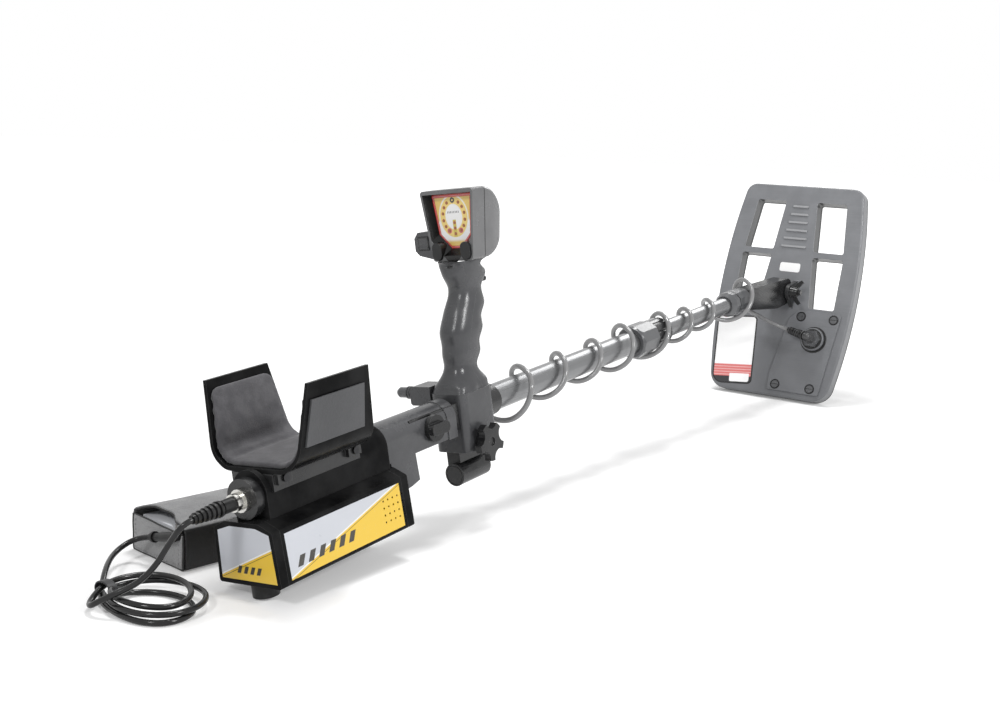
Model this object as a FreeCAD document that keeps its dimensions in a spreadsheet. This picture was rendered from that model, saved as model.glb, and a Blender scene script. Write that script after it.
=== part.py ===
import FreeCAD, Part
import math
import os
import re

import Sketcher
from FreeCAD import Placement, Rotation, Vector

# Metal detector: a search head on a telescopic shaft, a pistol grip with a display head,
# an arm with armrest and control box behind it, and a battery pouch on a lead.
#
# The row frame has +Z up, the floor at Z = 0 and +Y forward, towards the search head.
# Most pieces are drawn in one of four frames, which are placed from the sheet:
#   machine  on the shaft axis, under the grip, +Y along the shaft; leans to its left
#   shaft    the same axis and origin without the lean; the front part stands upright in it
#   coil     on the search head's lower edge, +Y up its face, +Z out of the face to the user
#   pouch    on the floor under the pouch's near end

doc = FreeCAD.newDocument("metal_detector")
sheet = doc.addObject("Spreadsheet::Sheet", "sizes")

# Every size is a plain number in millimetres or degrees: its name, its value, what it is.
SIZES = [
    # where the assembly stands
    ("shaft_x", 27.0, "machine origin, sideways"),
    ("shaft_y", -224.0, "machine origin, along"),
    ("shaft_height", 116.9, "shaft axis above the floor at the machine origin"),
    ("shaft_pitch", 4.55, "rise of the shaft towards the front, degrees"),
    ("machine_lean", 7.53, "lean of grip, arm and box about the shaft, degrees"),
    ("coil_recline", 16.73, "search head's lean from the vertical, degrees"),
    ("fit_gap", 0.1, "gap round a piece that is fixed in another"),
    ("run_gap", 0.3, "gap beside a piece that moves"),
    # upper tube and its middle collar
    ("tube_r", 14.0, "upper tube, outside radius"),
    ("tube_wall", 1.2, "upper tube wall"),
    ("tube_rear", -98.0, "upper tube, rear end"),
    ("tube_front", 314.0, "upper tube, front end"),
    ("nut_rear", 271.0, "lock nut, rear face"),
    ("nut_front", 311.0, "lock nut, front face"),
    ("nut_r", 21.0, "lock nut over its facets' edges"),
    ("nut_sides", 10.0, "lock nut facets"),
    ("tail_r", 16.6, "threaded tail of the collar sleeve"),
    ("tail_rear", 286.0, "rear end of the threaded tail"),
    ("sleeve_r", 19.4, "collar sleeve radius"),
    ("sleeve_front", 343.0, "front end of the sleeve's grip"),
    ("lip_r", 16.6, "collar sleeve radius at its front lip"),
    ("lip_long", 9.0, "length of the sleeve's front lip"),
    ("lip_wall", 4.0, "thickness of the sleeve's front lip"),
    ("flute_r", 2.2, "radius of a flute along the sleeve"),
    ("collet_r", 14.9, "collet, outside radius"),
    ("collet_rear", 318.0, "collet, rear face"),
    ("collet_long", 29.0, "collet length"),
    # lower tube, front collar, stem
    ("lower_r", 11.3, "lower tube, outside radius"),
    ("lower_wall", 1.1, "lower tube wall"),
    ("lower_rear", 160.0, "lower tube, rear end"),
    ("lower_front", 586.0, "lower tube, front end"),
    ("guide_long", 12.0, "guide ring on the lower tube's rear end, along"),
    ("slide_fit", 0.06, "running gap of the lower tube in the collet"),
    ("collar_rear", 541.0, "front collar, rear face"),
    ("collar_front", 597.0, "front collar, front face"),
    ("collar_r", 17.6, "front collar over its facets' edges"),
    ("collar_sides", 12.0, "front collar facets"),
    ("stem_half", 11.5, "half width of the stem"),
    ("stem_top", 14.4, "stem top over the axis at the collar"),
    ("stem_drop", 15.5, "stem underside below the axis at the collar"),
    ("stem_fall", 32.5, "stem underside below the axis near the pivot"),
    ("stem_heel", 708.0, "where the underside turns up to the pivot"),
    ("stem_eye_r", 19.5, "rounded end of the stem about the pivot"),
    ("spigot_long", 36.0, "length of the stem's spigot in the lower tube"),
    ("pivot_y", 743.0, "coil pivot along the shaft"),
    ("pivot_drop", 10.6, "coil pivot below the shaft axis"),
    ("bolt_r", 4.0, "pivot bolt radius"),
    ("washer_wall", 1.2, "rubber washer thickness"),
    ("washer_r", 10.0, "rubber washer radius"),
    # search head
    ("coil_height", 331.0, "search head, up its face"),
    ("coil_end_half", 92.5, "half width at the lower and top edges"),
    ("coil_mid_half", 108.5, "half width at mid height"),
    ("coil_shell", 19.0, "depth of the shell"),
    ("skid_depth", 6.0, "depth of the skid plate"),
    ("coil_low_corner", 27.0, "lower corner radius"),
    ("coil_top_corner", 17.0, "top corner radius"),
    ("coil_edge_r", 3.0, "rounding of the rims"),
    ("window_1", 140.5, "lower windows, lower edge"),
    ("window_2", 219.0, "lower windows, upper edge"),
    ("window_3", 228.0, "upper windows, lower edge"),
    ("window_4", 305.5, "upper windows, upper edge"),
    ("window_in_1", 41.5, "inner window edge at the lower windows' lower edge"),
    ("window_in_2", 33.0, "inner window edge at the lower windows' upper edge"),
    ("window_in_4", 25.0, "inner window edge at the upper windows' upper edge"),
    ("window_out_1", 81.5, "outer window edge, lower windows"),
    ("window_out_4", 72.0, "outer window edge at the upper windows' upper edge"),
    ("window_corner", 3.0, "window corner radius"),
    ("rib_count", 6.0, "grip ribs above the pivot"),
    ("rib_low", 234.0, "lowest rib up the face"),
    ("rib_pitch", 12.7, "rib spacing"),
    ("rib_half", 19.8, "half length of the lowest rib"),
    ("rib_taper", 1.52, "how much shorter each half rib is than the one below"),
    ("rib_width", 3.2, "rib width"),
    ("rib_rise", 1.6, "rib height"),
    ("pivot_out", 22.5, "pivot out of the face"),
    ("ear_gap", 0.1, "gap between washer and ear"),
    ("ear_wall", 5.6, "ear thickness"),
    ("ear_r", 11.5, "ear radius about the pivot"),
    ("ear_half", 23.0, "half length of an ear at the face"),
    ("winding_inset", 13.0, "middle line of the winding inside the rim"),
    ("winding_half", 3.4, "half width of the winding"),
    ("winding_deep", 9.0, "depth of the winding"),
    ("cover_rise", 2.2, "height of the cover plate"),
    ("cover_left", 1.0, "cover plate, left edge"),
    ("cover_notch", 16.0, "cover plate, left edge beside the hinge"),
    ("cover_right_low", 82.0, "cover plate, right edge at its foot"),
    ("cover_right_top", 96.0, "cover plate, right edge at its top"),
    ("cover_low", 9.0, "cover plate, lower edge"),
    ("cover_step", 36.0, "where the cover plate's left edge turns in"),
    ("cover_shoulder", 122.0, "cover plate, foot of its top left corner"),
    ("cover_top", 135.8, "cover plate, top edge"),
    ("cover_corner", 6.0, "corner radius of the cover plate"),
    ("screw_head_r", 5.4, "cover screw head radius"),
    ("screw_sink_r", 7.6, "recess radius round a cover screw"),
    ("gland_x", 60.0, "cable gland, sideways"),
    ("gland_up", 93.0, "cable gland, up the face"),
    ("boss_r", 17.0, "round boss under the gland"),
    ("boss_rise", 8.0, "height of the boss over the cover plate"),
    ("gland_nut_r", 13.5, "gland nut over its corners"),
    ("gland_nut_rise", 6.0, "gland nut height"),
    ("boot_foot_r", 7.5, "cable boot at the gland nut, radius"),
    ("boot_knee_r", 5.6, "cable boot at its bend, radius"),
    ("boot_arm_r", 5.4, "cable boot after the bend, radius"),
    ("boot_tip_r", 4.0, "cable boot at its end, radius"),
    ("boot_rib_r", 6.7, "cable boot's first rib, radius"),
    # cable and lead
    ("cable_r", 3.0, "search head cable radius"),
    ("lead_r", 2.5, "battery lead radius"),
    ("loops_r", 45.0, "lead loops, outside radius"),
    ("loops_hole_r", 27.0, "lead loops, inside radius"),
    ("loops_high", 9.0, "lead loops, height"),
    ("pouch_boot_r", 4.6, "pouch boot at the pouch, radius"),
    ("pouch_boot_tip_r", 3.4, "pouch boot at its end, radius"),
    ("pouch_collar_r", 5.0, "pouch boot's collar, radius"),
    ("loops_x", -14.0, "lead loops, middle, sideways"),
    ("loops_y", -656.0, "lead loops, middle, along"),
    # handle block
    ("block_half", 21.0, "half width of the handle block"),
    ("block_rear", -102.0, "block, rear face"),
    ("block_front", -49.0, "block, front face"),
    ("block_top", 21.0, "block, top over the axis"),
    ("block_floor", -38.5, "block, underside"),
    ("block_corner", 8.0, "block's upright edges"),
    ("barrel_drop", 61.5, "clamp barrel below the axis"),
    ("barrel_r", 11.6, "clamp barrel radius"),
    ("barrel_rear", -100.0, "clamp barrel, rear end"),
    ("barrel_front", -56.0, "clamp barrel, front end"),
    ("barrel_wall", 3.0, "clamp barrel wall"),
    ("neck_left", -12.0, "clamp neck, left face"),
    ("neck_right", 4.0, "clamp neck, right face"),
    ("knob_y", -80.0, "clamp screw along the machine"),
    ("knob_drop", 31.0, "clamp screw below the axis"),
    ("knob_r", 19.5, "star knob over its lobes"),
    ("knob_lobes", 5.0, "lobes of the star knob"),
    ("hollow_r", 9.0, "radius of the hollows between lobes"),
    ("hollow_out", 2.2, "hollows' middles outside the lobes' circle"),
    ("knob_turn", 48.0, "how far the star knob is turned, degrees"),
    ("knob_thick", 7.5, "star knob thickness"),
    ("knob_hub_r", 10.0, "hub radius between knob and block"),
    ("knob_hub", 6.0, "hub length"),
    ("screw_r", 3.5, "clamp screw radius"),
    ("clamp_nut_r", 7.4, "clamp nut over its corners"),
    ("clamp_nut_long", 6.0, "clamp nut thickness"),
    ("bush_r", 16.4, "tube bush, outside radius"),
    ("bush_front", -31.0, "tube bush, front face"),
    ("spigot_half", 14.0, "half size of the spigot that the arm slides on"),
    ("spigot_rear", -178.0, "spigot, rear end"),
    # grip: sections from the block up to the head
    ("grip_wall", 3.0, "grip wall"),
    # head
    ("head_rim", -63.5, "hood rim, rear"),
    ("head_seam", -42.5, "seam between hood and back cover"),
    ("head_top", 219.5, "top of the head"),
    ("head_floor", 148.5, "underside of the head"),
    ("head_top_half", 33.0, "half width of the head at its top"),
    ("head_floor_half", 24.5, "half width of the head at its underside"),
    ("head_corner", 3.5, "corner radius of the head"),
    ("display_y", -54.5, "display panel, rear face"),
    ("display_thick", 1.6, "display panel thickness"),
    ("display_top", 214.0, "display, top edge"),
    ("display_mid", 175.0, "display, where its sides turn in"),
    ("display_low", 160.5, "display, lower edge"),
    ("display_top_half", 24.9, "display half width, top"),
    ("display_mid_half", 20.4, "display half width where its sides turn in"),
    ("display_low_half", 6.3, "display half width, lower edge"),
    ("display_board_half", 18.0, "half width of the circuit board behind the display"),
    ("mouth_top", 215.5, "hood opening, top edge"),
    ("mouth_mid", 170.0, "hood opening, where its sides turn in"),
    ("mouth_low", 154.0, "hood opening, lower edge"),
    ("mouth_top_half", 30.0, "hood opening half width, top"),
    ("mouth_mid_half", 24.5, "hood opening half width where its sides turn in"),
    ("mouth_low_half", 11.0, "hood opening half width, lower edge"),
    ("led_r", 1.1, "indicator lamp radius"),
    ("led_proud", 0.4, "indicator lamp over the display panel"),
    ("lamp_ring_x", 13.5, "lamp ring, half width"),
    ("lamp_ring_z", 16.5, "lamp ring, half height"),
    ("lamp_ring_rise", 17.0, "lamp ring, centre over the display's middle"),
    ("thumb_x", 17.6, "thumb buttons from the middle"),
    ("thumb_z", 158.8, "thumb buttons over the axis"),
    ("thumb_r", 5.8, "thumb button radius"),
    ("thumb_tall", 3.0, "half length of a thumb button's straight sides"),
    ("thumb_proud", 2.6, "thumb buttons, height over the rim"),
    ("thumb_deep", 9.0, "thumb buttons, depth in the hood"),
    ("thumb_travel", 1.5, "thumb button travel"),
    ("trigger_x", 5.0, "trigger button, sideways"),
    ("trigger_z", 125.5, "trigger button over the axis"),
    ("trigger_r", 3.0, "trigger button radius"),
    ("trigger_tip", -21.5, "trigger button, tip"),
    ("trigger_root", -37.0, "trigger button, inner end"),
    ("pod_rear", -52.0, "side pod, rear face"),
    ("pod_front", -38.0, "side pod, front face"),
    ("pod_out", 56.0, "side pod, outer edge from the middle"),
    ("pod_top", 179.0, "side pod, top"),
    ("pod_low", 154.0, "side pod, outer lower corner"),
    ("pod_root_low", 146.0, "side pod, inner lower corner"),
    ("rocker_half", 6.7, "half size of the rocker key"),
    ("rocker_x", 44.5, "rocker key from the middle"),
    ("rocker_z", 166.5, "rocker key over the axis"),
    ("rocker_deep", 5.0, "depth of the rocker key in the pod"),
    ("rocker_proud", 1.2, "rocker key over the pod"),
    # connector box on the block's left
    ("conn_wide", 26.0, "connector box, sideways"),
    ("conn_rear", -100.0, "connector box, rear face"),
    ("conn_front", -74.0, "connector box, front face"),
    ("conn_top", 27.5, "connector box, top"),
    ("conn_floor", 8.0, "connector box, underside"),
    ("switch_y", -88.0, "switch axis along the machine"),
    ("switch_z", 18.5, "switch axis over the axis"),
    ("switch_nut_r", 6.6, "switch nut radius"),
    ("switch_nut", 11.0, "switch nut length"),
    ("switch_pin_r", 3.0, "switch pin radius"),
    ("switch_cap_r", 5.5, "switch cap radius"),
    ("switch_cap", 13.0, "switch cap length"),
    ("cable_plug_r", 6.0, "cable plug on the connector box, radius"),
    ("cable_plug", 14.0, "cable plug length"),
    ("cable_plug_x", -34.0, "cable plug, sideways"),
    # arm
    ("arm_half", 17.0, "half width of the arm"),
    ("arm_floor", -17.5, "arm, underside"),
    ("arm_crown", 1.6, "centre of the arm's round top"),
    ("arm_wall", 2.4, "arm wall"),
    ("arm_front", -112.0, "arm, front face"),
    ("arm_rear", -262.0, "arm, rear end inside the housing"),
    ("flange_long", 14.0, "arm flange, along"),
    ("flange_proud", 0.9, "arm flange over the arm"),
    ("housing_front", -219.0, "rear housing, front face"),
    ("housing_rear", -372.0, "rear housing, rear face"),
    ("housing_r", 19.8, "rear housing radius"),
    ("hanger_front", -178.0, "hanger, front edge"),
    ("hanger_floor", -46.5, "hanger, underside"),
    ("hanger_wall", 3.0, "hanger wall"),
    ("turn_y", -148.0, "thumb turn along the arm"),
    ("turn_z", -0.5, "thumb turn over the axis"),
    ("turn_r", 13.0, "thumb turn disc radius"),
    ("turn_disc", 4.5, "thumb turn disc thickness"),
    ("turn_wing", 6.0, "height of the thumb turn's wing"),
    ("turn_wing_half", 8.0, "half length of the wing's straight part"),
    ("turn_wing_r", 5.5, "half width of the wing"),
    ("turn_pin_r", 3.5, "thumb turn pin radius"),
    ("ring_r", 17.4, "rear ring radius"),
    ("ring_long", 9.0, "rear ring, along"),
    ("socket_drop", 2.6, "socket axis below the shaft axis"),
    ("socket_r", 10.0, "socket nut radius"),
    ("socket_proud", 4.0, "socket nut behind the rear ring"),
    ("plug_r", 6.0, "plug barrel radius"),
    ("plug_long", 19.0, "plug barrel length"),
    ("boot_long", 30.6, "plug boot length"),
    ("boot_ribs", 6.0, "ribs on the plug boot"),
    # armrest
    ("rest_top", 89.0, "armrest, top edge over the axis"),
    ("rest_floor", 15.4, "armrest, underside"),
    ("rest_top_half", 61.5, "armrest, half width at its top"),
    ("rest_turn_half", 51.5, "armrest, half width where the sides begin"),
    ("rest_turn", 27.0, "armrest, height where the sides begin"),
    ("rest_floor_half", 35.0, "armrest, half width of its floor"),
    ("rest_wall", 3.5, "armrest wall"),
    ("rest_bend", 15.0, "radius of the bends at the pad's face"),
    ("rest_rear", -364.0, "armrest, rear edge of its floor"),
    ("rest_rear_rake", 14.0, "rear edge's rake up the sides"),
    ("rest_front", -268.0, "armrest, front edge of its floor"),
    ("rest_front_rake", 9.0, "front edge's rake up the sides"),
    ("pad_thick", 4.5, "armrest pad thickness"),
    ("pad_short", 7.0, "pad's top edge below the armrest's"),
    ("plate_thick", 2.0, "armrest side plate thickness"),
    ("plate_low", 37.0, "armrest side plate, lower edge"),
    ("plate_top", 75.0, "armrest side plate, upper edge"),
    ("plate_front", -284.0, "armrest side plate, front edge"),
    ("plate_inset", 5.0, "armrest side plate in from the raked rear edge"),
    ("rail_half", 22.8, "half width of the armrest rail"),
    ("rail_rear", -366.0, "armrest rail, rear face"),
    ("rail_front", -260.0, "armrest rail, front face"),
    ("rail_floor", 1.0, "armrest rail, underside"),
    ("lug_long", 16.0, "rail lug, along"),
    ("lug_half", 27.0, "half width over the rail lugs"),
    # control box
    ("box_rear", -386.0, "control box, rear face"),
    ("box_front", -214.0, "control box, front face"),
    ("box_top_half", 33.8, "control box, half width at the shoulder"),
    ("box_floor_half", 36.1, "control box, half width at its floor"),
    ("box_shoulder", -27.0, "control box, shoulder over the axis"),
    ("box_floor", -74.5, "control box, floor over the axis"),
    ("box_crest", -20.6, "control box, crest over the axis"),
    ("box_crest_half", 19.0, "control box, half width of its crest"),
    ("box_wall", 2.8, "control box wall"),
    ("cap_long", 9.0, "end cap of the control box, along"),
    ("panel_sink", 0.8, "label panel thickness, flush in the wall"),
    ("panel_edge", 4.0, "frame left round a label panel"),
    ("speaker_y", -238.0, "speaker along the box"),
    ("speaker_r", 17.0, "speaker radius"),
    ("speaker_deep", 9.0, "speaker depth"),
    ("hole_r", 1.0, "speaker hole radius"),
    ("hole_pitch", 6.4, "speaker hole spacing"),
    ("board_drop", -52.0, "circuit board over the axis"),
    ("board_half", 27.0, "half width of the circuit board"),
    ("board_thick", 1.6, "circuit board thickness"),
    ("foot_r", 11.5, "rubber foot radius"),
    ("foot_y", -372.0, "rubber foot along the box"),
    ("foot_x", 2.0, "rubber foot, sideways"),
    # pouch
    ("pouch_x", -93.0, "pouch near end, middle, sideways"),
    ("pouch_y", -589.5, "pouch near end, middle, along"),
    ("pouch_turn", -8.0, "pouch turned about the vertical, degrees"),
    ("pouch_half", 41.0, "half width of the pouch"),
    ("pouch_side", 37.0, "height of the pouch at its sides"),
    ("pouch_high", 44.0, "height of the pouch in its middle"),
    ("pouch_long", 128.0, "length of the pouch"),
    ("pouch_wall", 2.4, "leather thickness"),
    ("battery_half", 34.0, "half width of the battery pack"),
    ("battery_high", 31.0, "battery pack height"),
    ("battery_long", 112.0, "battery pack length"),
]

# The grip's sections: height over the axis, middle along the machine, half width, half depth
# and the squareness of the oval (2 is an ellipse).
GRIP_SECTIONS = [
    (20.0, -75.5, 20.6, 26.2, 6.0),
    (27.0, -74.4, 19.8, 25.4, 4.5),
    (36.0, -73.4, 15.5, 21.5, 3.0),
    (45.0, -71.8, 13.6, 18.6, 2.6),
    (56.0, -68.2, 15.2, 22.3, 2.5),
    (67.0, -67.4, 15.7, 21.6, 2.5),
    (79.0, -64.0, 17.0, 25.5, 2.5),
    (91.0, -61.2, 16.4, 22.6, 2.5),
    (103.0, -53.6, 15.6, 23.8, 2.5),
    (113.0, -51.0, 14.4, 19.6, 2.5),
    (122.0, -49.6, 14.2, 19.2, 2.5),
    (136.0, -49.6, 17.4, 24.0, 2.7),
    ("=head_floor", -46.5, 20.0, 28.5, 3.0),
]
for number, (high, along, wide, deep, square) in enumerate(GRIP_SECTIONS, start=1):
    SIZES.append(("section_z_%d" % number, high, "grip section, height over the axis"))
    SIZES.append(("section_y_%d" % number, along, "grip section, middle"))
    SIZES.append(("section_wide_%d" % number, wide, "grip section, half width"))
    SIZES.append(("section_deep_%d" % number, deep, "grip section, half depth"))
    SIZES.append(("section_form_%d" % number, square, "grip section, squareness"))

# The parting line of the two grip shells, as places along the machine and over the axis.
SEAM_LINE = [(-67.0, -60.0), (-67.0, 25.0), (-72.0, 46.0), (-69.6, 79.0), (-61.0, 98.0),
             (-49.0, 118.0), (-45.5, 160.0)]
for number, (along, high) in enumerate(SEAM_LINE, start=1):
    SIZES.append(("seam_y_%d" % number, along, "parting line, along"))
    SIZES.append(("seam_z_%d" % number, high, "parting line, over the axis"))

for row, (alias, amount, note) in enumerate(SIZES, start=1):
    sheet.set("A%d" % row, alias)
    sheet.set("B%d" % row, str(amount))
    sheet.set("C%d" % row, note)
    sheet.setAlias("B%d" % row, alias)
doc.recompute()
NAMES = {alias for alias, amount, note in SIZES}


def size(alias):
    """The value of one size in the sheet."""
    return float(sheet.get(alias))


def ex(formula):
    """A formula of size names, written as a reference to the sheet."""
    return re.sub(r"[a-z][a-z_0-9]*", lambda found: "sizes." + found.group(0), str(formula))


def amount_of(formula):
    """The number that a formula of size names gives."""
    return float(sheet.evalExpression(ex(formula)))


def bind(item, **formulas):
    """Bind an object's properties to formulas of size names."""
    for name, formula in formulas.items():
        item.setExpression(name.replace("__", "."), ex(formula))


# ---------------------------------------------------------------- frames

LIFT = Rotation(Vector(1, 0, 0), size("shaft_pitch"))
LEAN = Rotation(Vector(0, 1, 0), -size("machine_lean"))
RECLINE = Rotation(Vector(1, 0, 0), 90.0 - size("coil_recline"))
MACHINE_ORIGIN = Vector(size("shaft_x"), size("shaft_y"), size("shaft_height"))
MACHINE = Placement(MACHINE_ORIGIN, LIFT.multiply(LEAN))
SHAFT = Placement(MACHINE_ORIGIN, LIFT)

# The search head stands on the rounded rear edge of its skid plate, and its face is where the
# pivot lies pivot_out over it.
PIVOT = SHAFT.multVec(Vector(0, size("pivot_y"), -size("pivot_drop")))
TILT = math.radians(size("coil_recline"))
COIL_DEPTH = size("coil_shell") + size("skid_depth")
EDGE_R = size("coil_edge_r")
FACE_LIFT = EDGE_R + (COIL_DEPTH - EDGE_R) * math.sin(TILT) - EDGE_R * math.cos(TILT)
PIVOT_UP = (PIVOT.z - FACE_LIFT - size("pivot_out") * math.sin(TILT)) / math.cos(TILT)
COIL_ORIGIN = PIVOT - RECLINE.multVec(Vector(0, PIVOT_UP, size("pivot_out")))
COIL = Placement(COIL_ORIGIN, RECLINE)
POUCH_ORIGIN = Vector(size("pouch_x"), size("pouch_y"), 0)
POUCH = Placement(POUCH_ORIGIN, Rotation(Vector(0, 0, 1), size("pouch_turn")))
GROUND = Placement()

ALONG = {
    "x": Rotation(Vector(0, 1, 0), 90),
    "y": Rotation(Vector(1, 0, 0), -90),
    "z": Rotation(),
}
PLANES = {"x": "YZ_Plane", "y": "XZ_Plane", "z": "XY_Plane"}

# ---------------------------------------------------------------- building blocks

PIECES = []


def finish(item, node, frame):
    """Name a finished piece and put it in its frame."""
    item.Label = node
    item.Placement = frame
    PIECES.append(item)
    return item


def group(node, frame, *items):
    """Join separate solids in one finished piece."""
    compound = doc.addObject("Part::Compound", node)
    compound.Links = list(items)
    return finish(compound, node, frame)


def box(name, left, right, rear, front, low, high):
    """A box between six faces, each a formula."""
    solid = doc.addObject("Part::Box", name)
    bind(solid, Length="(%s) - (%s)" % (right, left), Width="(%s) - (%s)" % (front, rear))
    bind(solid, Height="(%s) - (%s)" % (high, low))
    bind(solid, Placement__Base__x=left, Placement__Base__y=rear, Placement__Base__z=low)
    return solid


def seat(solid, axis, start, across, over):
    """Lay a turned primitive along an axis, from start, through the two other coordinates."""
    solid.Placement = Placement(Vector(), ALONG[axis])
    places = {"x": (start, across, over), "y": (across, start, over), "z": (across, over, start)}
    x, y, z = places[axis]
    bind(solid, Placement__Base__x=x, Placement__Base__y=y, Placement__Base__z=z)
    return solid


def rod(name, axis, radius, start, end, across="0", over="0"):
    """A cylinder along an axis through two coordinates, which keep their x, y, z order."""
    solid = doc.addObject("Part::Cylinder", name)
    bind(solid, Radius=radius, Height="(%s) - (%s)" % (end, start))
    return seat(solid, axis, start, across, over)


def taper(name, axis, radius, far_radius, start, end, across="0", over="0"):
    """A cone along an axis."""
    solid = doc.addObject("Part::Cone", name)
    bind(solid, Radius1=radius, Radius2=far_radius, Height="(%s) - (%s)" % (end, start))
    return seat(solid, axis, start, across, over)


def facets(name, axis, sides, radius, start, end, across="0", over="0"):
    """A prism with equal sides along an axis."""
    solid = doc.addObject("Part::Prism", name)
    bind(solid, Polygon=sides, Circumradius=radius, Height="(%s) - (%s)" % (end, start))
    return seat(solid, axis, start, across, over)


def fuse(name, *items):
    """One solid of overlapping items."""
    joined = doc.addObject("Part::MultiFuse", name)
    joined.Shapes = list(items)
    joined.Refine = True
    return joined


def cut(name, base, *tools):
    """The base less the tools."""
    result = doc.addObject("Part::Cut", name)
    result.Base = base
    result.Tool = tools[0] if len(tools) == 1 else fuse(name + "_tools", *tools)
    return result


def common(name, *items):
    """What the items share."""
    shared = doc.addObject("Part::MultiCommon", name)
    shared.Shapes = list(items)
    return shared


def shaped(name, shape):
    """An object with a shape of its own making."""
    item = doc.addObject("Part::Feature", name)
    item.Shape = shape
    return item


def tube(name, axis, radius, bore, start, end, across="0", over="0"):
    """A straight tube."""
    outside = rod(name + "_outside", axis, radius, start, end, across, over)
    inside = rod(name + "_inside", axis, bore, start, end, across, over)
    return cut(name, outside, inside)


def origin_plane(body, role):
    """One of a body's three origin planes."""
    return [item for item in body.Origin.OriginFeatures if item.Role == role][0]


def outline(body, axis, points, offset, bows=None):
    """A closed outline square to an axis. bows gives some edges, by number, a radius."""
    sketch = body.newObject("Sketcher::SketchObject", body.Name + "_outline")
    sketch.AttachmentSupport = (origin_plane(body, PLANES[axis]), [""])
    sketch.MapMode = "FlatFace"
    bind(sketch, AttachmentOffset__Base__z=offset)
    bows = bows or {}
    corners = [Vector(amount_of(u), amount_of(v), 0) for u, v in points]
    count = len(corners)
    for index, corner in enumerate(corners):
        after = corners[(index + 1) % count]
        if index in bows:
            half = (after - corner) / 2
            radius = amount_of(bows[index])
            bulge = radius - math.sqrt(radius ** 2 - half.Length ** 2)
            outward = Vector(half.y, -half.x, 0).normalize()
            sketch.addGeometry(Part.Arc(corner, corner + half + outward * bulge, after))
        else:
            sketch.addGeometry(Part.LineSegment(corner, after))
    for index in range(count):
        after = (index + 1) % count
        sketch.addConstraint(Sketcher.Constraint("Coincident", index, 2, after, 1))
    for index, (u, v) in enumerate(points):
        corner = corners[index]
        across = Sketcher.Constraint("DistanceX", -1, 1, index, 1, corner.x)
        bind_rule(sketch, sketch.addConstraint(across), u)
        along = Sketcher.Constraint("DistanceY", -1, 1, index, 1, corner.y)
        bind_rule(sketch, sketch.addConstraint(along), v)
    for index, radius in bows.items():
        rule = Sketcher.Constraint("Radius", index, amount_of(radius))
        bind_rule(sketch, sketch.addConstraint(rule), radius)
    return sketch


def bind_rule(sketch, number, formula):
    """Bind one constraint of a sketch."""
    sketch.setExpression("Constraints[%d]" % number, ex(formula))


def prism(name, axis, points, start, end, bows=None):
    """A body padded along an axis from start to end; points run anticlockwise in the plane."""
    body = doc.addObject("PartDesign::Body", name)
    # The XZ plane looks back along -Y, so a pad along Y begins at its front end.
    offset = "-(%s)" % end if axis == "y" else start
    sketch = outline(body, axis, points, offset, bows)
    pad = body.newObject("PartDesign::Pad", name + "_pad")
    pad.Profile = sketch
    bind(pad, Length="(%s) - (%s)" % (end, start))
    sketch.Visibility = False
    return body


def soften(body, radius, choose):
    """Round the edges of a body's tip that choose picks."""
    doc.recompute()
    tip = body.Tip
    names = ["Edge%d" % number for number, edge in enumerate(tip.Shape.Edges, start=1)
             if choose(edge)]
    fillet = body.newObject("PartDesign::Fillet", "%s_round_%d" % (body.Name, len(body.Group)))
    fillet.Base = (tip, names)
    bind(fillet, Radius=radius)
    return body


def runs_along(axis, tolerance=1e-6):
    """Chooses straight edges that run along an axis."""
    def choose(edge):
        if edge.Curve.TypeId != "Part::GeomLine":
            return False
        direction = edge.Vertexes[-1].Point - edge.Vertexes[0].Point
        others = [getattr(direction, other) for other in "xyz" if other != axis]
        return all(abs(other) < tolerance for other in others)
    return choose


def at_level(axis, formula):
    """Chooses edges that lie wholly at one place along an axis."""
    level = amount_of(formula)

    def choose(edge):
        box_ = edge.BoundBox
        low = getattr(box_, axis.upper() + "Min")
        high = getattr(box_, axis.upper() + "Max")
        return abs(low - level) < 0.01 and abs(high - level) < 0.01
    return choose


def ends_before(formula):
    """Chooses edges that end a millimetre or more before a place along the machine."""
    limit = amount_of(formula) - 1
    return lambda edge: edge.BoundBox.YMax < limit


def lies_over(axis, formula):
    """Chooses edges whose middle is past a place along an axis."""
    level = amount_of(formula)
    return lambda edge: getattr(edge.CenterOfMass, axis) > level


def lies_under(axis, formula):
    """Chooses edges whose middle is short of a place along an axis."""
    level = amount_of(formula)
    return lambda edge: getattr(edge.CenterOfMass, axis) < level


def both(*tests):
    """Chooses edges that pass every test."""
    return lambda edge: all(test(edge) for test in tests)


def mirrored(points):
    """Right-hand points from the bottom up, and the same ones mirrored back down."""
    return points + [("-(%s)" % x, y) for x, y in reversed(points)]


def ring_of(name, make, count, radius, turn=0.0):
    """Tools set evenly round the Y axis: make(name, x, z) builds one."""
    items = []
    for index in range(count):
        angle = math.radians(turn + 360.0 * index / count)
        across = "%s * %.6f" % (radius, math.cos(angle))
        over = "%s * %.6f" % (radius, math.sin(angle))
        items.append(make("%s_%d" % (name, index + 1), across, over))
    return items


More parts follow.
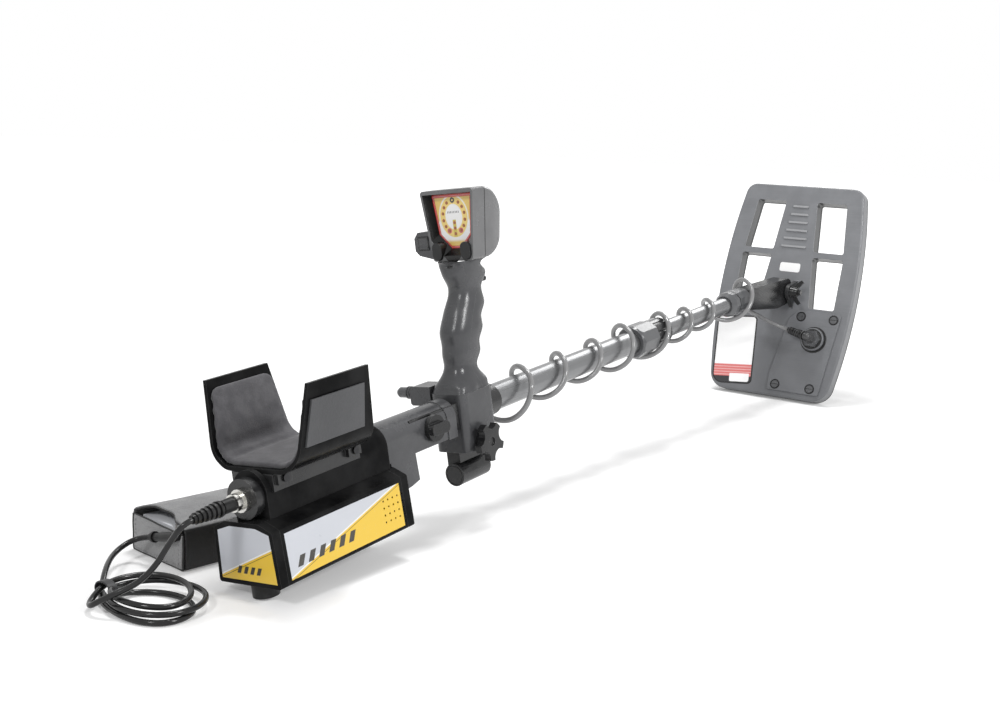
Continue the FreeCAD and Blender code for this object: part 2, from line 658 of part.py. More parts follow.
def swept(points, radius):
    """A round cord: straight runs joined by tangent arcs as large as the runs allow."""
    edges = []
    radii = []
    last = points[0]
    for before, corner, after in zip(points, points[1:], points[2:]):
        backward = before - corner
        forward = after - corner
        turn = math.pi - backward.getAngle(forward)
        bend = 0.45 * min(backward.Length, forward.Length) / math.tan(turn / 2)
        reach = bend * math.tan(turn / 2)
        start = corner + backward.normalize() * reach
        end = corner + forward.normalize() * reach
        inward = (backward + forward).normalize()
        middle = corner + inward * (bend / math.cos(turn / 2) - bend)
        edges.append(Part.LineSegment(last, start).toShape())
        edges.append(Part.Arc(start, middle, end).toShape())
        radii.append(bend)
        last = end
    edges.append(Part.LineSegment(last, points[-1]).toShape())
    path = Part.Wire(edges)
    along = points[1] - points[0]
    section = Part.Wire(Part.makeCircle(radius, points[0], along))
    solid = path.makePipeShell([section], True, True)
    wanted = math.pi * radius ** 2 * path.Length
    print("cord: length %.0f, volume %.0f of %.0f, least radius %.1f"
          % (path.Length, solid.Volume, wanted, min(radii)))
    return solid


# ---------------------------------------------------------------- upper tube and its collar

finish(tube("upper_tube", "y", "tube_r", "tube_r - tube_wall", "tube_rear", "tube_front"),
       "upper_tube", MACHINE)

tube_bush = tube("tube_bush", "y", "bush_r", "tube_r + fit_gap", "block_front", "bush_front")
spigot = box("spigot", "-spigot_half", "spigot_half", "spigot_rear", "block_rear",
             "-spigot_half", "spigot_half - 1")
group("shaft_liners", MACHINE, tube_bush, spigot)

nut_blank = facets("nut_blank", "y", "nut_sides", "nut_r", "nut_rear", "nut_front")
nut_cone = taper("nut_cone", "y", "nut_r - 2.5", "nut_r + 8", "nut_rear", "nut_rear + 21")
nut_end = rod("nut_end", "y", "nut_r + 8", "nut_rear + 21", "nut_front")
nut_body = common("nut_body", nut_blank, fuse("nut_limits", nut_cone, nut_end))
nut_lip = rod("nut_lip_bore", "y", "tube_r + run_gap", "nut_rear - 1", "tail_rear")
nut_bore = rod("nut_bore", "y", "tail_r + run_gap", "tail_rear - run_gap", "nut_front + 1")
finish(cut("lock_nut", nut_body, nut_lip, nut_bore), "lock_nut", MACHINE)

sleeve_tail = rod("sleeve_tail", "y", "tail_r", "tail_rear", "nut_front + run_gap")
sleeve_grip = rod("sleeve_grip", "y", "sleeve_r", "nut_front + run_gap", "sleeve_front")
sleeve_lip = taper("sleeve_lip", "y", "lip_r + 1.5", "lip_r", "sleeve_front",
                   "sleeve_front + lip_long")
sleeve_solid = fuse("sleeve_solid", sleeve_tail, sleeve_grip, sleeve_lip)


def flute(name, across, over):
    return rod(name, "y", "flute_r", "nut_front - 2", "sleeve_front + 1", across, over)


flutes = ring_of("flute", flute, 10, "(sleeve_r + 1.3)", 18.0)
tail_bore = rod("tail_bore", "y", "tube_r + fit_gap", "tail_rear - 1", "tube_front")
collet_room_end = "sleeve_front + lip_long - lip_wall"
collet_room = rod("collet_room", "y", "collet_r + run_gap", "tube_front", collet_room_end)
lip_bore = rod("lip_bore", "y", "lower_r + run_gap", collet_room_end, "sleeve_front + lip_long + 1")
finish(cut("collar_sleeve", sleeve_solid, tail_bore, collet_room, lip_bore, *flutes),
       "collar_sleeve", MACHINE)

# The collet turns in the sleeve and the lower tube slides in it.
collet_front = "collet_rear + collet_long"
finish(tube("collet", "y", "collet_r", "lower_r + slide_fit", "collet_rear", collet_front),
       "collet", SHAFT)

# ---------------------------------------------------------------- lower tube, collar and stem

lower_pipe = tube("lower_pipe", "y", "lower_r", "lower_r - lower_wall", "lower_rear",
                  "lower_front")
guide_ring = tube("guide_ring", "y", "tube_r - tube_wall - run_gap", "lower_r", "lower_rear",
                  "lower_rear + guide_long")
group("lower_tube", SHAFT, lower_pipe, guide_ring)

collar_blank = facets("collar_blank", "y", "collar_sides", "collar_r", "collar_rear", "collar_front")
collar_cone = taper("collar_cone", "y", "lower_r + 2.2", "collar_r + 2", "collar_rear",
                    "collar_rear + 14")
collar_drum = rod("collar_drum", "y", "collar_r + 2", "collar_rear + 14", "collar_front")
collar_shape = common("collar_shape", collar_blank, fuse("collar_limits", collar_cone, collar_drum))
collar_groove = tube("collar_groove", "y", "collar_r + 3", "collar_r - 2.4",
                     "collar_rear + 20", "collar_rear + 22")
collar_bore = rod("collar_bore", "y", "lower_r + fit_gap", "collar_rear - 1", "collar_front + 1")
finish(cut("front_collar", collar_shape, collar_groove, collar_bore), "front_collar", SHAFT)

stem_profile = [
    ("collar_front", "-stem_drop"),
    ("stem_heel", "-stem_fall"),
    ("pivot_y", "-pivot_drop - stem_eye_r"),
    ("pivot_y", "-pivot_drop + stem_eye_r"),
    ("collar_front", "stem_top"),
]
stem_blank = prism("stem_blank", "x", stem_profile, "-stem_half", "stem_half")
soften(stem_blank, "5", both(at_level("x", "stem_half"), ends_before("pivot_y")))
soften(stem_blank, "5", both(at_level("x", "-stem_half"), ends_before("pivot_y")))
stem_eye = rod("stem_eye", "x", "stem_eye_r", "-stem_half", "stem_half", "pivot_y", "-pivot_drop")
stem_spigot = rod("stem_spigot", "y", "lower_r - lower_wall - fit_gap",
                  "lower_front - spigot_long", "collar_front + 2")
stem_bore = rod("stem_bore", "x", "bolt_r + fit_gap", "-stem_half - 1", "stem_half + 1",
                "pivot_y", "-pivot_drop")
finish(cut("coil_stem", fuse("stem_solid", stem_blank, stem_eye, stem_spigot), stem_bore),
       "coil_stem", SHAFT)

# ---------------------------------------------------------------- search head

HEAD_UP = "%.4f" % PIVOT_UP
bow_r = ("(coil_height * coil_height / 4 + (coil_mid_half - coil_end_half) * (coil_mid_half"
         " - coil_end_half)) / (2 * (coil_mid_half - coil_end_half))")


def head_outline(name, inset, low, high):
    """The search head's outline less an inset, as a prism with rounded corners."""
    half = "coil_end_half - %s" % inset
    points = [("-(%s)" % half, inset), (half, inset), (half, "coil_height - %s" % inset),
              ("-(%s)" % half, "coil_height - %s" % inset)]
    radius = "%s - %s" % (bow_r, inset)
    body = prism(name, "z", points, low, high, bows={1: radius, 3: radius})
    soften(body, "coil_top_corner - %s * 0.5" % inset,
           both(runs_along("z"), lies_over("y", "coil_height / 2")))
    soften(body, "coil_low_corner - %s * 0.5" % inset,
           both(runs_along("z"), lies_under("y", "coil_height / 2")))
    return body


def windows(name, low, high):
    """The four windows as tools."""
    out_3 = "window_out_1 - 0.6 * (window_3 - window_2)"
    lower = [("window_in_1", "window_1"), ("window_out_1", "window_1"),
             ("window_out_1", "window_2"), ("window_in_2", "window_2")]
    upper = [("window_in_2 - 0.8", "window_3"), (out_3 + " + 4", "window_3"),
             ("window_out_4", "window_4"), ("window_in_4", "window_4")]
    tools = []
    for level, points in (("low", lower), ("high", upper)):
        for side in ("right", "left"):
            corners = points
            if side == "left":
                corners = [("-(%s)" % x, y) for x, y in reversed(points)]
            tool = prism("%s_%s_%s" % (name, level, side), "z", corners, low, high)
            tools.append(soften(tool, "window_corner", runs_along("z")))
    return tools


shell_blank = head_outline("shell_blank", "0", "-coil_shell", "0")
soften(shell_blank, "coil_edge_r", at_level("z", "0"))
winding_outer = head_outline("winding_outer", "(winding_inset - winding_half)",
                             "-coil_shell - 1", "-coil_shell + winding_deep + fit_gap")
winding_inner = head_outline("winding_inner", "(winding_inset + winding_half)",
                             "-coil_shell - 2", "-coil_shell + winding_deep + 1")
winding_room = cut("winding_room", winding_outer, winding_inner)

ribs = []
for index in range(int(size("rib_count"))):
    half = "(rib_half - %d * rib_taper)" % index
    middle = "(rib_low + %d * rib_pitch)" % index
    ribs.append(box("rib_%d" % (index + 1), "-" + half, half, middle + " - rib_width / 2",
                    middle + " + rib_width / 2", "-0.5", "rib_rise"))


def ear(name, inner, outer):
    """One ear of the hinge fork."""
    points = [(HEAD_UP + " - ear_half", "-1"), (HEAD_UP + " + ear_half", "-1"),
              (HEAD_UP + " + ear_r", "pivot_out"), (HEAD_UP + " - ear_r", "pivot_out")]
    web = prism(name + "_web", "x", points, inner, outer)
    knuckle = rod(name + "_knuckle", "x", "ear_r", inner, outer, HEAD_UP, "pivot_out")
    return fuse(name, web, knuckle)


ear_in = "stem_half + washer_wall + ear_gap"
ear_out = "stem_half + washer_wall + ear_gap + ear_wall"
right_ear = ear("right_ear", ear_in, ear_out)
left_ear = ear("left_ear", "-(%s)" % ear_out, "-(%s)" % ear_in)
pivot_bore = rod("pivot_bore", "x", "bolt_r + fit_gap", "-30", "30", HEAD_UP, "pivot_out")

cover_points = [("cover_left", "cover_low"), ("cover_right_low", "cover_low"),
                ("cover_right_top", "cover_top"), ("cover_notch + 13", "cover_top"),
                ("cover_notch", "cover_shoulder"), ("cover_left", "cover_step")]
cover_blank = prism("cover_blank", "z", cover_points, "0", "cover_rise")
soften(cover_blank, "cover_corner * 0.6", runs_along("z"))

SCREW_PLACES = [("cover_notch + 18", "cover_top - 9.5"), ("cover_right_top - 11", "cover_top - 9.5"),
                ("cover_left + 12", "cover_low + 9"), ("cover_right_low - 14", "cover_low + 9")]
screw_bores = []
screw_sinks = []
screw_parts = []
for number, (x, y) in enumerate(SCREW_PLACES, start=1):
    screw_bores.append(rod("screw_bore_%d" % number, "z", "2.1", "-8.1", "3", x, y))
    screw_sinks.append(rod("screw_sink_%d" % number, "z", "screw_sink_r", "0.6", "3", x, y))
    shank = rod("screw_shank_%d" % number, "z", "2", "-8", "1", x, y)
    head = rod("screw_head_%d" % number, "z", "screw_head_r", "0.6", "cover_rise + 0.9", x, y)
    slot = box("screw_slot_%d" % number, "%s - 6" % x, "%s + 6" % x, "%s - 0.6" % y,
               "%s + 0.6" % y, "cover_rise - 0.4", "cover_rise + 2")
    screw_parts.append(cut("cover_screw_%d" % number, fuse("screw_%d" % number, shank, head), slot))

shell_solid = fuse("shell_solid", shell_blank, right_ear, left_ear, *ribs)
finish(cut("coil_shell", shell_solid, pivot_bore, winding_room,
           *(windows("shell_window", "-coil_shell - 1", "1") + screw_bores)), "coil_shell", COIL)

skid_blank = head_outline("skid_blank", "0", "-coil_shell - skid_depth", "-coil_shell")
soften(skid_blank, "coil_edge_r", at_level("z", "-coil_shell - skid_depth"))
skid_windows = windows("skid_window", "-coil_shell - skid_depth - 1", "-coil_shell + 1")
finish(cut("coil_skid_plate", skid_blank, *skid_windows), "coil_skid_plate", COIL)

wire_outer = head_outline("wire_outer", "(winding_inset - winding_half + fit_gap)",
                          "-coil_shell", "-coil_shell + winding_deep")
wire_inner = head_outline("wire_inner", "(winding_inset + winding_half - fit_gap)",
                          "-coil_shell - 1", "-coil_shell + winding_deep + 1")
finish(cut("coil_windings", wire_outer, wire_inner), "coil_windings", COIL)

boss_top = "cover_rise + boss_rise"
gland_boss = taper("gland_boss", "z", "boss_r + 1.5", "boss_r", "0", boss_top,
                   "gland_x", "gland_up")
cover_solid = fuse("cover_solid", cover_blank, gland_boss)
cover_bores = []
for number, (x, y) in enumerate(SCREW_PLACES, start=1):
    cover_bores.append(rod("cover_bore_%d" % number, "z", "2.1", "-1", "3", x, y))
finish(cut("cover_plate", cover_solid, *(cover_bores + screw_sinks)), "cover_plate", COIL)
group("cover_screws", COIL, *screw_parts)

# The boot leaves the gland nut sideways, towards the hinge.
nut_top = boss_top + " + gland_nut_rise"
group("gland_nut", COIL,
      facets("gland_hexagon", "z", "6", "gland_nut_r", boss_top, nut_top, "gland_x", "gland_up"))
BOOT_ROOT = Vector(size("gland_x"), size("gland_up"), amount_of(nut_top))
BOOT_TIP = BOOT_ROOT + Vector(-36.0, 8.5, 3.0)
boot_bend = BOOT_ROOT + Vector(-3.0, 0.8, 7.5)
boot_way = BOOT_TIP - boot_bend
boot_foot = Part.makeCone(size("boot_foot_r"), size("boot_knee_r"), boot_bend.z - BOOT_ROOT.z + 1.0,
                          BOOT_ROOT)
boot_knuckle = Part.makeSphere(size("boot_knee_r"), boot_bend)
boot_arm = Part.makeCone(size("boot_arm_r"), size("boot_tip_r"), boot_way.Length, boot_bend, boot_way)
boot_shape = boot_foot.fuse([boot_knuckle, boot_arm])
for step in range(8):
    place = boot_bend + boot_way * (0.2 + 0.096 * step)
    ring = Part.makeCylinder(size("boot_rib_r") - 0.16 * step, 1.6, place, boot_way)
    boot_shape = boot_shape.fuse(ring)
boot_floor = Part.makeBox(80, 80, 20, Vector(BOOT_ROOT.x - 40, BOOT_ROOT.y - 40, BOOT_ROOT.z - 20))
finish(shaped("cable_boot", boot_shape.cut(boot_floor)), "cable_boot", COIL)

# Washers, bolt and wing nut of the hinge
washers = [
    tube("right_washer", "x", "washer_r", "bolt_r + fit_gap", "stem_half",
         "stem_half + washer_wall", HEAD_UP, "pivot_out"),
    tube("left_washer", "x", "washer_r", "bolt_r + fit_gap", "-stem_half - washer_wall",
         "-stem_half", HEAD_UP, "pivot_out"),
]
group("stem_washers", COIL, *washers)
bolt_shank = rod("bolt_shank", "x", "bolt_r", "-(%s)" % ear_out, ear_out + " + 16",
                 HEAD_UP, "pivot_out")
bolt_head = taper("bolt_head", "x", "7", "9.5", "-(%s) - 5" % ear_out, "-(%s)" % ear_out,
                  HEAD_UP, "pivot_out")
finish(fuse("hinge_bolt", bolt_shank, bolt_head), "hinge_bolt", COIL)
nut_start = ear_out + " + run_gap"
wing_hub = taper("wing_hub", "x", "8.5", "6.5", nut_start, ear_out + " + 11", HEAD_UP, "pivot_out")
wings = []
for side, sign in (("low", "-"), ("high", "+")):
    wing_points = [(ear_out + " + 4", HEAD_UP + " %s 5" % sign),
                   (ear_out + " + 9", HEAD_UP + " %s 5" % sign),
                   (ear_out + " + 18", HEAD_UP + " %s 16" % sign),
                   (ear_out + " + 14", HEAD_UP + " %s 19" % sign),
                   (ear_out + " + 8", HEAD_UP + " %s 14" % sign)]
    if sign == "+":
        wing_points.reverse()
    wings.append(prism(side + "_wing", "z", wing_points, "pivot_out - 1.6", "pivot_out + 1.6"))
wing_bore = rod("wing_bore", "x", "bolt_r + fit_gap", ear_out + " - 1", ear_out + " + 30",
                HEAD_UP, "pivot_out")
finish(cut("wing_nut", fuse("wing_solid", wing_hub, *wings), wing_bore), "wing_nut", COIL)

# ---------------------------------------------------------------- handle block and grip


def oval(centre_y, half_x, half_y, form, height):
    """A squared oval across the grip, as a closed spline."""
    points = []
    for index in range(28):
        angle = 2 * math.pi * index / 28
        x = half_x * math.copysign(abs(math.cos(angle)) ** (2 / form), math.cos(angle))
        y = half_y * math.copysign(abs(math.sin(angle)) ** (2 / form), math.sin(angle))
        points.append(Vector(x, centre_y + y, height))
    curve = Part.BSplineCurve()
    curve.interpolate(Points=points, PeriodicFlag=True)
    return Part.Wire(curve.toShape())


def grip_loft(name, inset, first, last):
    """The grip through its sections, less an inset."""
    wires = []
    for number in range(first, last + 1):
        wide = size("section_wide_%d" % number) - inset
        deep = size("section_deep_%d" % number) - inset
        form = size("section_form_%d" % number)
        middle = size("section_y_%d" % number)
        wires.append(oval(middle, wide, deep, form, size("section_z_%d" % number)))
    return shaped(name, Part.makeLoft(wires, True, False))


grip_count = len(GRIP_SECTIONS)
block_points = [("-block_half", "block_rear"), ("block_half", "block_rear"),
                ("block_half", "block_front"), ("-block_half", "block_front")]
block_blank = prism("block_blank", "z", block_points, "block_floor", "block_top")
soften(block_blank, "block_corner", runs_along("z"))
grip_skin = grip_loft("grip_skin", 0.0, 1, grip_count)
handle_solid = fuse("handle_solid", block_blank, grip_skin)
grip_hollow = grip_loft("grip_hollow", size("grip_wall"), 2, grip_count)
tube_bore = rod("tube_bore", "y", "tube_r + fit_gap", "tube_rear - fit_gap", "block_front + 1")
knob_at = ("knob_y", "-knob_drop")
clamp_bore = rod("clamp_bore", "x", "screw_r + run_gap", "-block_half - 1", "block_half + 1",
                 *knob_at)
trigger_bore = rod("trigger_bore", "y", "trigger_r + run_gap", "trigger_root - 8", "trigger_tip",
                   "trigger_x", "trigger_z")
handle_hollowed = cut("handle_hollowed", handle_solid, grip_hollow, tube_bore, clamp_bore,
                      trigger_bore)

seam_points = [Vector(-60, size("seam_y_%d" % number), size("seam_z_%d" % number))
               for number in range(1, len(SEAM_LINE) + 1)]
seam_curve = Part.BSplineCurve()
seam_curve.interpolate(seam_points)
seam_far = [Vector(-60, 60, seam_points[-1].z), Vector(-60, 60, seam_points[0].z)]
seam_edges = [seam_curve.toShape(), Part.LineSegment(seam_points[-1], seam_far[0]).toShape(),
              Part.LineSegment(*seam_far).toShape(),
              Part.LineSegment(seam_far[1], seam_points[0]).toShape()]
seam_face = Part.Face(Part.Wire(seam_edges))
front_half = shaped("front_half", seam_face.extrude(Vector(120, 0, 0)))
finish(common("handle_front_shell", handle_hollowed, front_half), "handle_front_shell", MACHINE)
finish(cut("handle_rear_shell", handle_hollowed, front_half), "handle_rear_shell", MACHINE)

trigger_cap = rod("trigger_cap", "y", "trigger_r", "trigger_root", "trigger_tip - 1.2",
                  "trigger_x", "trigger_z")
trigger_nose = taper("trigger_nose", "y", "trigger_r", "trigger_r - 1", "trigger_tip - 1.2",
                     "trigger_tip", "trigger_x", "trigger_z")
finish(fuse("trigger", trigger_cap, trigger_nose), "trigger", MACHINE)

# ---------------------------------------------------------------- clamp barrel and its screw

barrel_skin = rod("barrel_skin", "y", "barrel_r", "barrel_rear", "barrel_front",
                  "0", "-barrel_drop")
neck = box("neck", "neck_left", "neck_right", "barrel_rear + 4", "barrel_front - 3",
           "-barrel_drop + barrel_r - 4", "block_floor")
barrel_room = rod("barrel_room", "y", "barrel_r - barrel_wall", "barrel_rear - 1",
                  "barrel_front - barrel_wall", "0", "-barrel_drop")
barrel_shell = cut("barrel_shell", fuse("barrel_solid", barrel_skin, neck), barrel_room)

cap_rim = rod("cap_rim", "y", "barrel_r", "barrel_rear - 2.5", "barrel_rear", "0", "-barrel_drop")
cap_plug = rod("cap_plug", "y", "barrel_r - barrel_wall - fit_gap", "barrel_rear - 1",
               "barrel_rear + 7", "0", "-barrel_drop")
cap_groove = tube("cap_groove", "y", "barrel_r - 1.6", "barrel_r - 2.6", "barrel_rear - 3",
                  "barrel_rear - 1.8", "0", "-barrel_drop")
barrel_cap = cut("barrel_cap", fuse("cap_solid", cap_rim, cap_plug), cap_groove)
group("clamp_barrel", MACHINE, barrel_shell, barrel_cap)

knob_start = "block_half + run_gap"
knob_in = "block_half + run_gap + knob_hub"
knob_out = "block_half + run_gap + knob_hub + knob_thick"
knob_disc = rod("knob_disc", "x", "knob_r", knob_in, knob_out, *knob_at)
knob_hub_solid = rod("knob_hub_solid", "x", "knob_hub_r", knob_start, knob_in + " + 1", *knob_at)
hollows = []
for index in range(int(size("knob_lobes"))):
    angle = math.radians(360.0 * (index + 0.5) / size("knob_lobes") + size("knob_turn"))
    across = "knob_y + (knob_r + hollow_out) * %.5f" % math.cos(angle)
    over = "-knob_drop + (knob_r + hollow_out) * %.5f" % math.sin(angle)
    hollows.append(rod("hollow_%d" % (index + 1), "x", "hollow_r", knob_in, knob_out + " + 1",
                       across, over))
knob_dimple = rod("knob_dimple", "x", "screw_r + 1", knob_out + " - 1.5", knob_out + " + 1", *knob_at)
knob_screw = rod("knob_screw", "x", "screw_r", "-block_half - clamp_nut_long - 2", knob_in,
                 *knob_at)
knob_solid = fuse("knob_solid", knob_disc, knob_hub_solid)
knob_cut = cut("knob_cut", knob_solid, knob_dimple, *hollows)
finish(fuse("star_knob", knob_cut, knob_screw), "star_knob", MACHINE)

nut_block = facets("nut_block", "x", "6", "clamp_nut_r", "-block_half - clamp_nut_long",
                   "-block_half", *knob_at)
nut_hole = rod("nut_hole", "x", "screw_r + fit_gap", "-block_half - clamp_nut_long - 1",
               "-block_half + 1", *knob_at)
finish(cut("clamp_nut", nut_block, nut_hole), "clamp_nut", MACHINE)

# ---------------------------------------------------------------- display head


def head_side(name, rear, front):
    """The head's outline across the machine, as a prism along it."""
    points = mirrored([("head_floor_half", "head_floor"), ("head_top_half", "head_top")])
    body = prism(name, "y", points, rear, front)
    return soften(body, "head_corner", runs_along("y"))


def hexagon(prefix, at):
    """The head's six-sided opening or display as a wire at one place along the machine."""
    corners = []
    for level in ("top", "mid", "low"):
        corners.append((size("%s_%s_half" % (prefix, level)), size("%s_%s" % (prefix, level))))
    ring = corners + [(-x, z) for x, z in reversed(corners)]
    return Part.makePolygon([Vector(x, at, z) for x, z in ring + ring[:1]])


def display_points():
    """The display's outline as formulas."""
    return mirrored([("display_low_half", "display_low"), ("display_mid_half", "display_mid"),
                     ("display_top_half", "display_top")])


hood_blank = head_side("hood_blank", "head_rim", "head_seam")
funnel = shaped("funnel", Part.makeLoft([hexagon("mouth", size("head_rim") - 0.01),
                                         hexagon("display", size("display_y"))], True, True))
panel_back = "display_y + display_thick"
panel_room = prism("panel_room", "y", display_points(), "display_y - 0.01", panel_back)
board_room = box("board_room", "-display_board_half - 0.5", "display_board_half + 0.5",
                 panel_back + " - 0.01", "head_seam + 1", "display_mid - 6", "display_top - 4")


def thumb_place(side):
    return "-thumb_x" if side == "left" else "thumb_x"


def thumb_slug(name, side, gap, rear, front):
    """A thumb button or its hole: an upright rounded bar."""
    x = thumb_place(side)
    radius = "(thumb_r + %s)" % gap
    low = rod(name + "_low", "y", radius, rear, front, x, "thumb_z - thumb_tall")
    high = rod(name + "_high", "y", radius, rear, front, x, "thumb_z + thumb_tall")
    bar = box(name + "_bar", "%s - %s" % (x, radius), "%s + %s" % (x, radius), rear, front,
              "thumb_z - thumb_tall", "thumb_z + thumb_tall")
    return fuse(name, low, high, bar)


thumb_rooms = [thumb_slug(side + "_thumb_room", side, "run_gap", "head_rim - 1",
                          "head_rim + thumb_deep + thumb_travel + run_gap")
               for side in ("left", "right")]
finish(cut("head_hood", hood_blank, funnel, panel_room, board_room, *thumb_rooms),
       "head_hood", MACHINE)
for side in ("left", "right"):
    finish(thumb_slug(side + "_button", side, "0", "head_rim - thumb_proud",
                      "head_rim + thumb_deep"), side + "_button", MACHINE)

LAMPS = [("lamp_ring_x * (%.6f)" % math.cos(math.radians(angle)),
          "display_mid + lamp_ring_rise + lamp_ring_z * (%.6f)" % math.sin(math.radians(angle)))
         for angle in (-58, -35, -12, 12, 35, 58, 122, 145, 168, 192, 215, 238)]
LAMPS += [("0", "display_mid + lamp_ring_rise - %.1f" % under) for under in (6, 11.5, 17)]
lamp_solids = []
lamp_holes = []
for number, (x, z) in enumerate(LAMPS, start=1):
    lamp_solids.append(rod("lamp_%d" % number, "y", "led_r", "display_y - led_proud",
                           panel_back, x, z))
    lamp_holes.append(rod("lamp_hole_%d" % number, "y", "led_r", "display_y - 1",
                          panel_back + " + 1", x, z))
display_blank = prism("display_blank", "y", display_points(), "display_y", panel_back)
finish(cut("display_panel", display_blank, *lamp_holes), "display_panel", MACHINE)
group("display_lamps", MACHINE, *lamp_solids)
display_board = box("display_board", "-display_board_half", "display_board_half",
                    panel_back, panel_back + " + board_thick", "display_mid - 5.5", "display_top - 4.5")


def head_section(at, top_half, low_half, low, top, corner):
    """A rounded section of the head's back cover."""
    corners = [Vector(low_half, at, low), Vector(top_half, at, top),
               Vector(-top_half, at, top), Vector(-low_half, at, low)]
    edges = []
    last = None
    first = None
    for index, here in enumerate(corners):
        before = (corners[index - 1] - here).normalize()
        after = (corners[(index + 1) % 4] - here).normalize()
        half_angle = before.getAngle(after) / 2
        reach = corner / math.tan(half_angle)
        start = here + before * reach
        end = here + after * reach
        toward = (before + after).normalize()
        middle = here + toward * (corner / math.sin(half_angle) - corner)
        if last:
            edges.append(Part.LineSegment(last, start).toShape())
        first = first or start
        edges.append(Part.Arc(start, middle, end).toShape())
        last = end
    edges.append(Part.LineSegment(last, first).toShape())
    return Part.Wire(edges)


# The back cover's sections: place behind its front, how much less wide at the top and at the
# floor, how much higher its floor and how much lower its top than the hood's, and its corners.
COVER_SECTIONS = [
    (0.0, 0.4, 0.4, 0.0, 0.8, 3.5),
    (13.0, 1.2, 0.9, 0.0, 2.2, 6.0),
    (29.5, 5.0, 3.5, 5.5, 12.0, 9.0),
    (40.5, 14.0, 9.5, 14.0, 27.0, 10.0),
]
cover_wires = []
for along, top_less, floor_less, up, down, corner in COVER_SECTIONS:
    cover_wires.append(head_section(size("head_seam") + along, size("head_top_half") - top_less,
                                    size("head_floor_half") - floor_less, size("head_floor") + up,
                                    size("head_top") - down, corner))
cover_loft = shaped("cover_loft", Part.makeLoft(cover_wires, True, False))
cover_under = box("cover_under", "-head_top_half", "head_top_half", "head_seam - 1", "0",
                  "head_floor - 9", "head_floor")
cover_skin = cut("cover_skin", cover_loft, cover_under)
cover_room = box("cover_room", "-head_floor_half + 3.5", "head_floor_half - 3.5", "head_seam - 1",
                 "head_seam + 20", "head_floor + 13.5", "head_top - 15")
finish(cut("head_cover", cover_skin, cover_room), "head_cover", MACHINE)

pod_points = [("-18", "pod_root_low"), ("-18", "pod_top"), ("-pod_out + 5", "pod_top - 1"),
              ("-pod_out", "pod_top - 7"), ("-pod_out", "pod_low + 5"), ("-pod_out + 5", "pod_low")]
pod_blank = prism("pod_blank", "y", pod_points, "pod_rear", "pod_front")
pod_host = head_side("pod_host", "head_rim", "0")
rocker_left = "-rocker_x - rocker_half"
rocker_right = "-rocker_x + rocker_half"
rocker_room = box("rocker_room", rocker_left + " - run_gap", rocker_right + " + run_gap",
                  "pod_rear - 1", "pod_rear + rocker_deep + 2", "rocker_z - rocker_half - run_gap",
                  "rocker_z + rocker_half + run_gap")
finish(cut("side_pod", pod_blank, pod_host, cover_skin, grip_skin, rocker_room), "side_pod",
       MACHINE)
rocker_key = box("rocker_key", rocker_left, rocker_right, "pod_rear - rocker_proud",
                 "pod_rear + rocker_deep", "rocker_z - rocker_half", "rocker_z + rocker_half")
rocker_dish = rod("rocker_dish", "x", "14", rocker_left + " - 1", rocker_right + " + 1",
                  "pod_rear - rocker_proud - 13.2", "rocker_z")
finish(cut("pod_rocker", rocker_key, rocker_dish), "pod_rocker", MACHINE)

# ---------------------------------------------------------------- connector box

conn_left = "-block_half - conn_wide"
conn_points = [(conn_left + " + 2", "conn_floor"), ("-block_half", "conn_floor"),
               ("-block_half", "conn_top"), (conn_left + " + 4", "conn_top"),
               (conn_left, "conn_top - 4"), (conn_left, "conn_floor + 2")]
conn_body = prism("conn_body", "y", conn_points, "conn_rear", "conn_front")

switch_end = conn_left + " - switch_nut"
switch_at = ("switch_y", "switch_z")
switch_base = rod("switch_base", "x", "switch_nut_r", switch_end, conn_left, *switch_at)
switch_rings = [tube("switch_ring_%d" % (step + 1), "x", "switch_nut_r + 1", "switch_nut_r - 0.7",
                     "%s + %.1f" % (switch_end, 1.5 + 3.2 * step),
                     "%s + %.1f" % (switch_end, 2.7 + 3.2 * step), *switch_at)
                for step in range(3)]
switch_hole = rod("switch_hole", "x", "switch_pin_r + run_gap", switch_end + " - 1", conn_left,
                  *switch_at)
switch_nut = cut("switch_nut_solid", switch_base, switch_hole, *switch_rings)
group("connector_box", MACHINE, conn_body, switch_nut)
switch_tip = switch_end + " - run_gap - switch_cap"
switch_skin = rod("switch_skin", "x", "switch_cap_r", switch_tip + " + 3",
                  switch_end + " - run_gap", *switch_at)
switch_dome = taper("switch_dome", "x", "switch_cap_r - 2", "switch_cap_r", switch_tip,
                    switch_tip + " + 3", *switch_at)
switch_pin = rod("switch_pin", "x", "switch_pin_r", switch_tip + " + 3", conn_left + " - run_gap",
                 *switch_at)
finish(fuse("switch_cap_solid", switch_skin, switch_dome, switch_pin), "side_switch", MACHINE)

plug_at = ("cable_plug_x", "conn_floor + 9")
plug_start = "conn_front"
plug_end = "conn_front + cable_plug"
finish(fuse("cable_plug_solid",
            rod("cable_plug_skin", "y", "cable_plug_r", plug_start, plug_end, *plug_at),
            taper("cable_plug_neck", "y", "cable_plug_r - 1", "cable_r + 0.8", plug_end,
                  plug_end + " + 8", *plug_at)), "cable_plug", MACHINE)

# ---------------------------------------------------------------- arm and rear housing


def dome(name, grow, rear, front, base="arm_floor"):
    """The arm's outline: a box with a round top, grown on every side."""
    radius = "(arm_half + %s)" % grow
    lower = box(name + "_lower", "-" + radius, radius, rear, front, "%s - %s" % (base, grow),
                "arm_crown")
    upper = rod(name + "_upper", "y", radius, rear, front, "0", "arm_crown")
    return fuse(name, lower, upper)


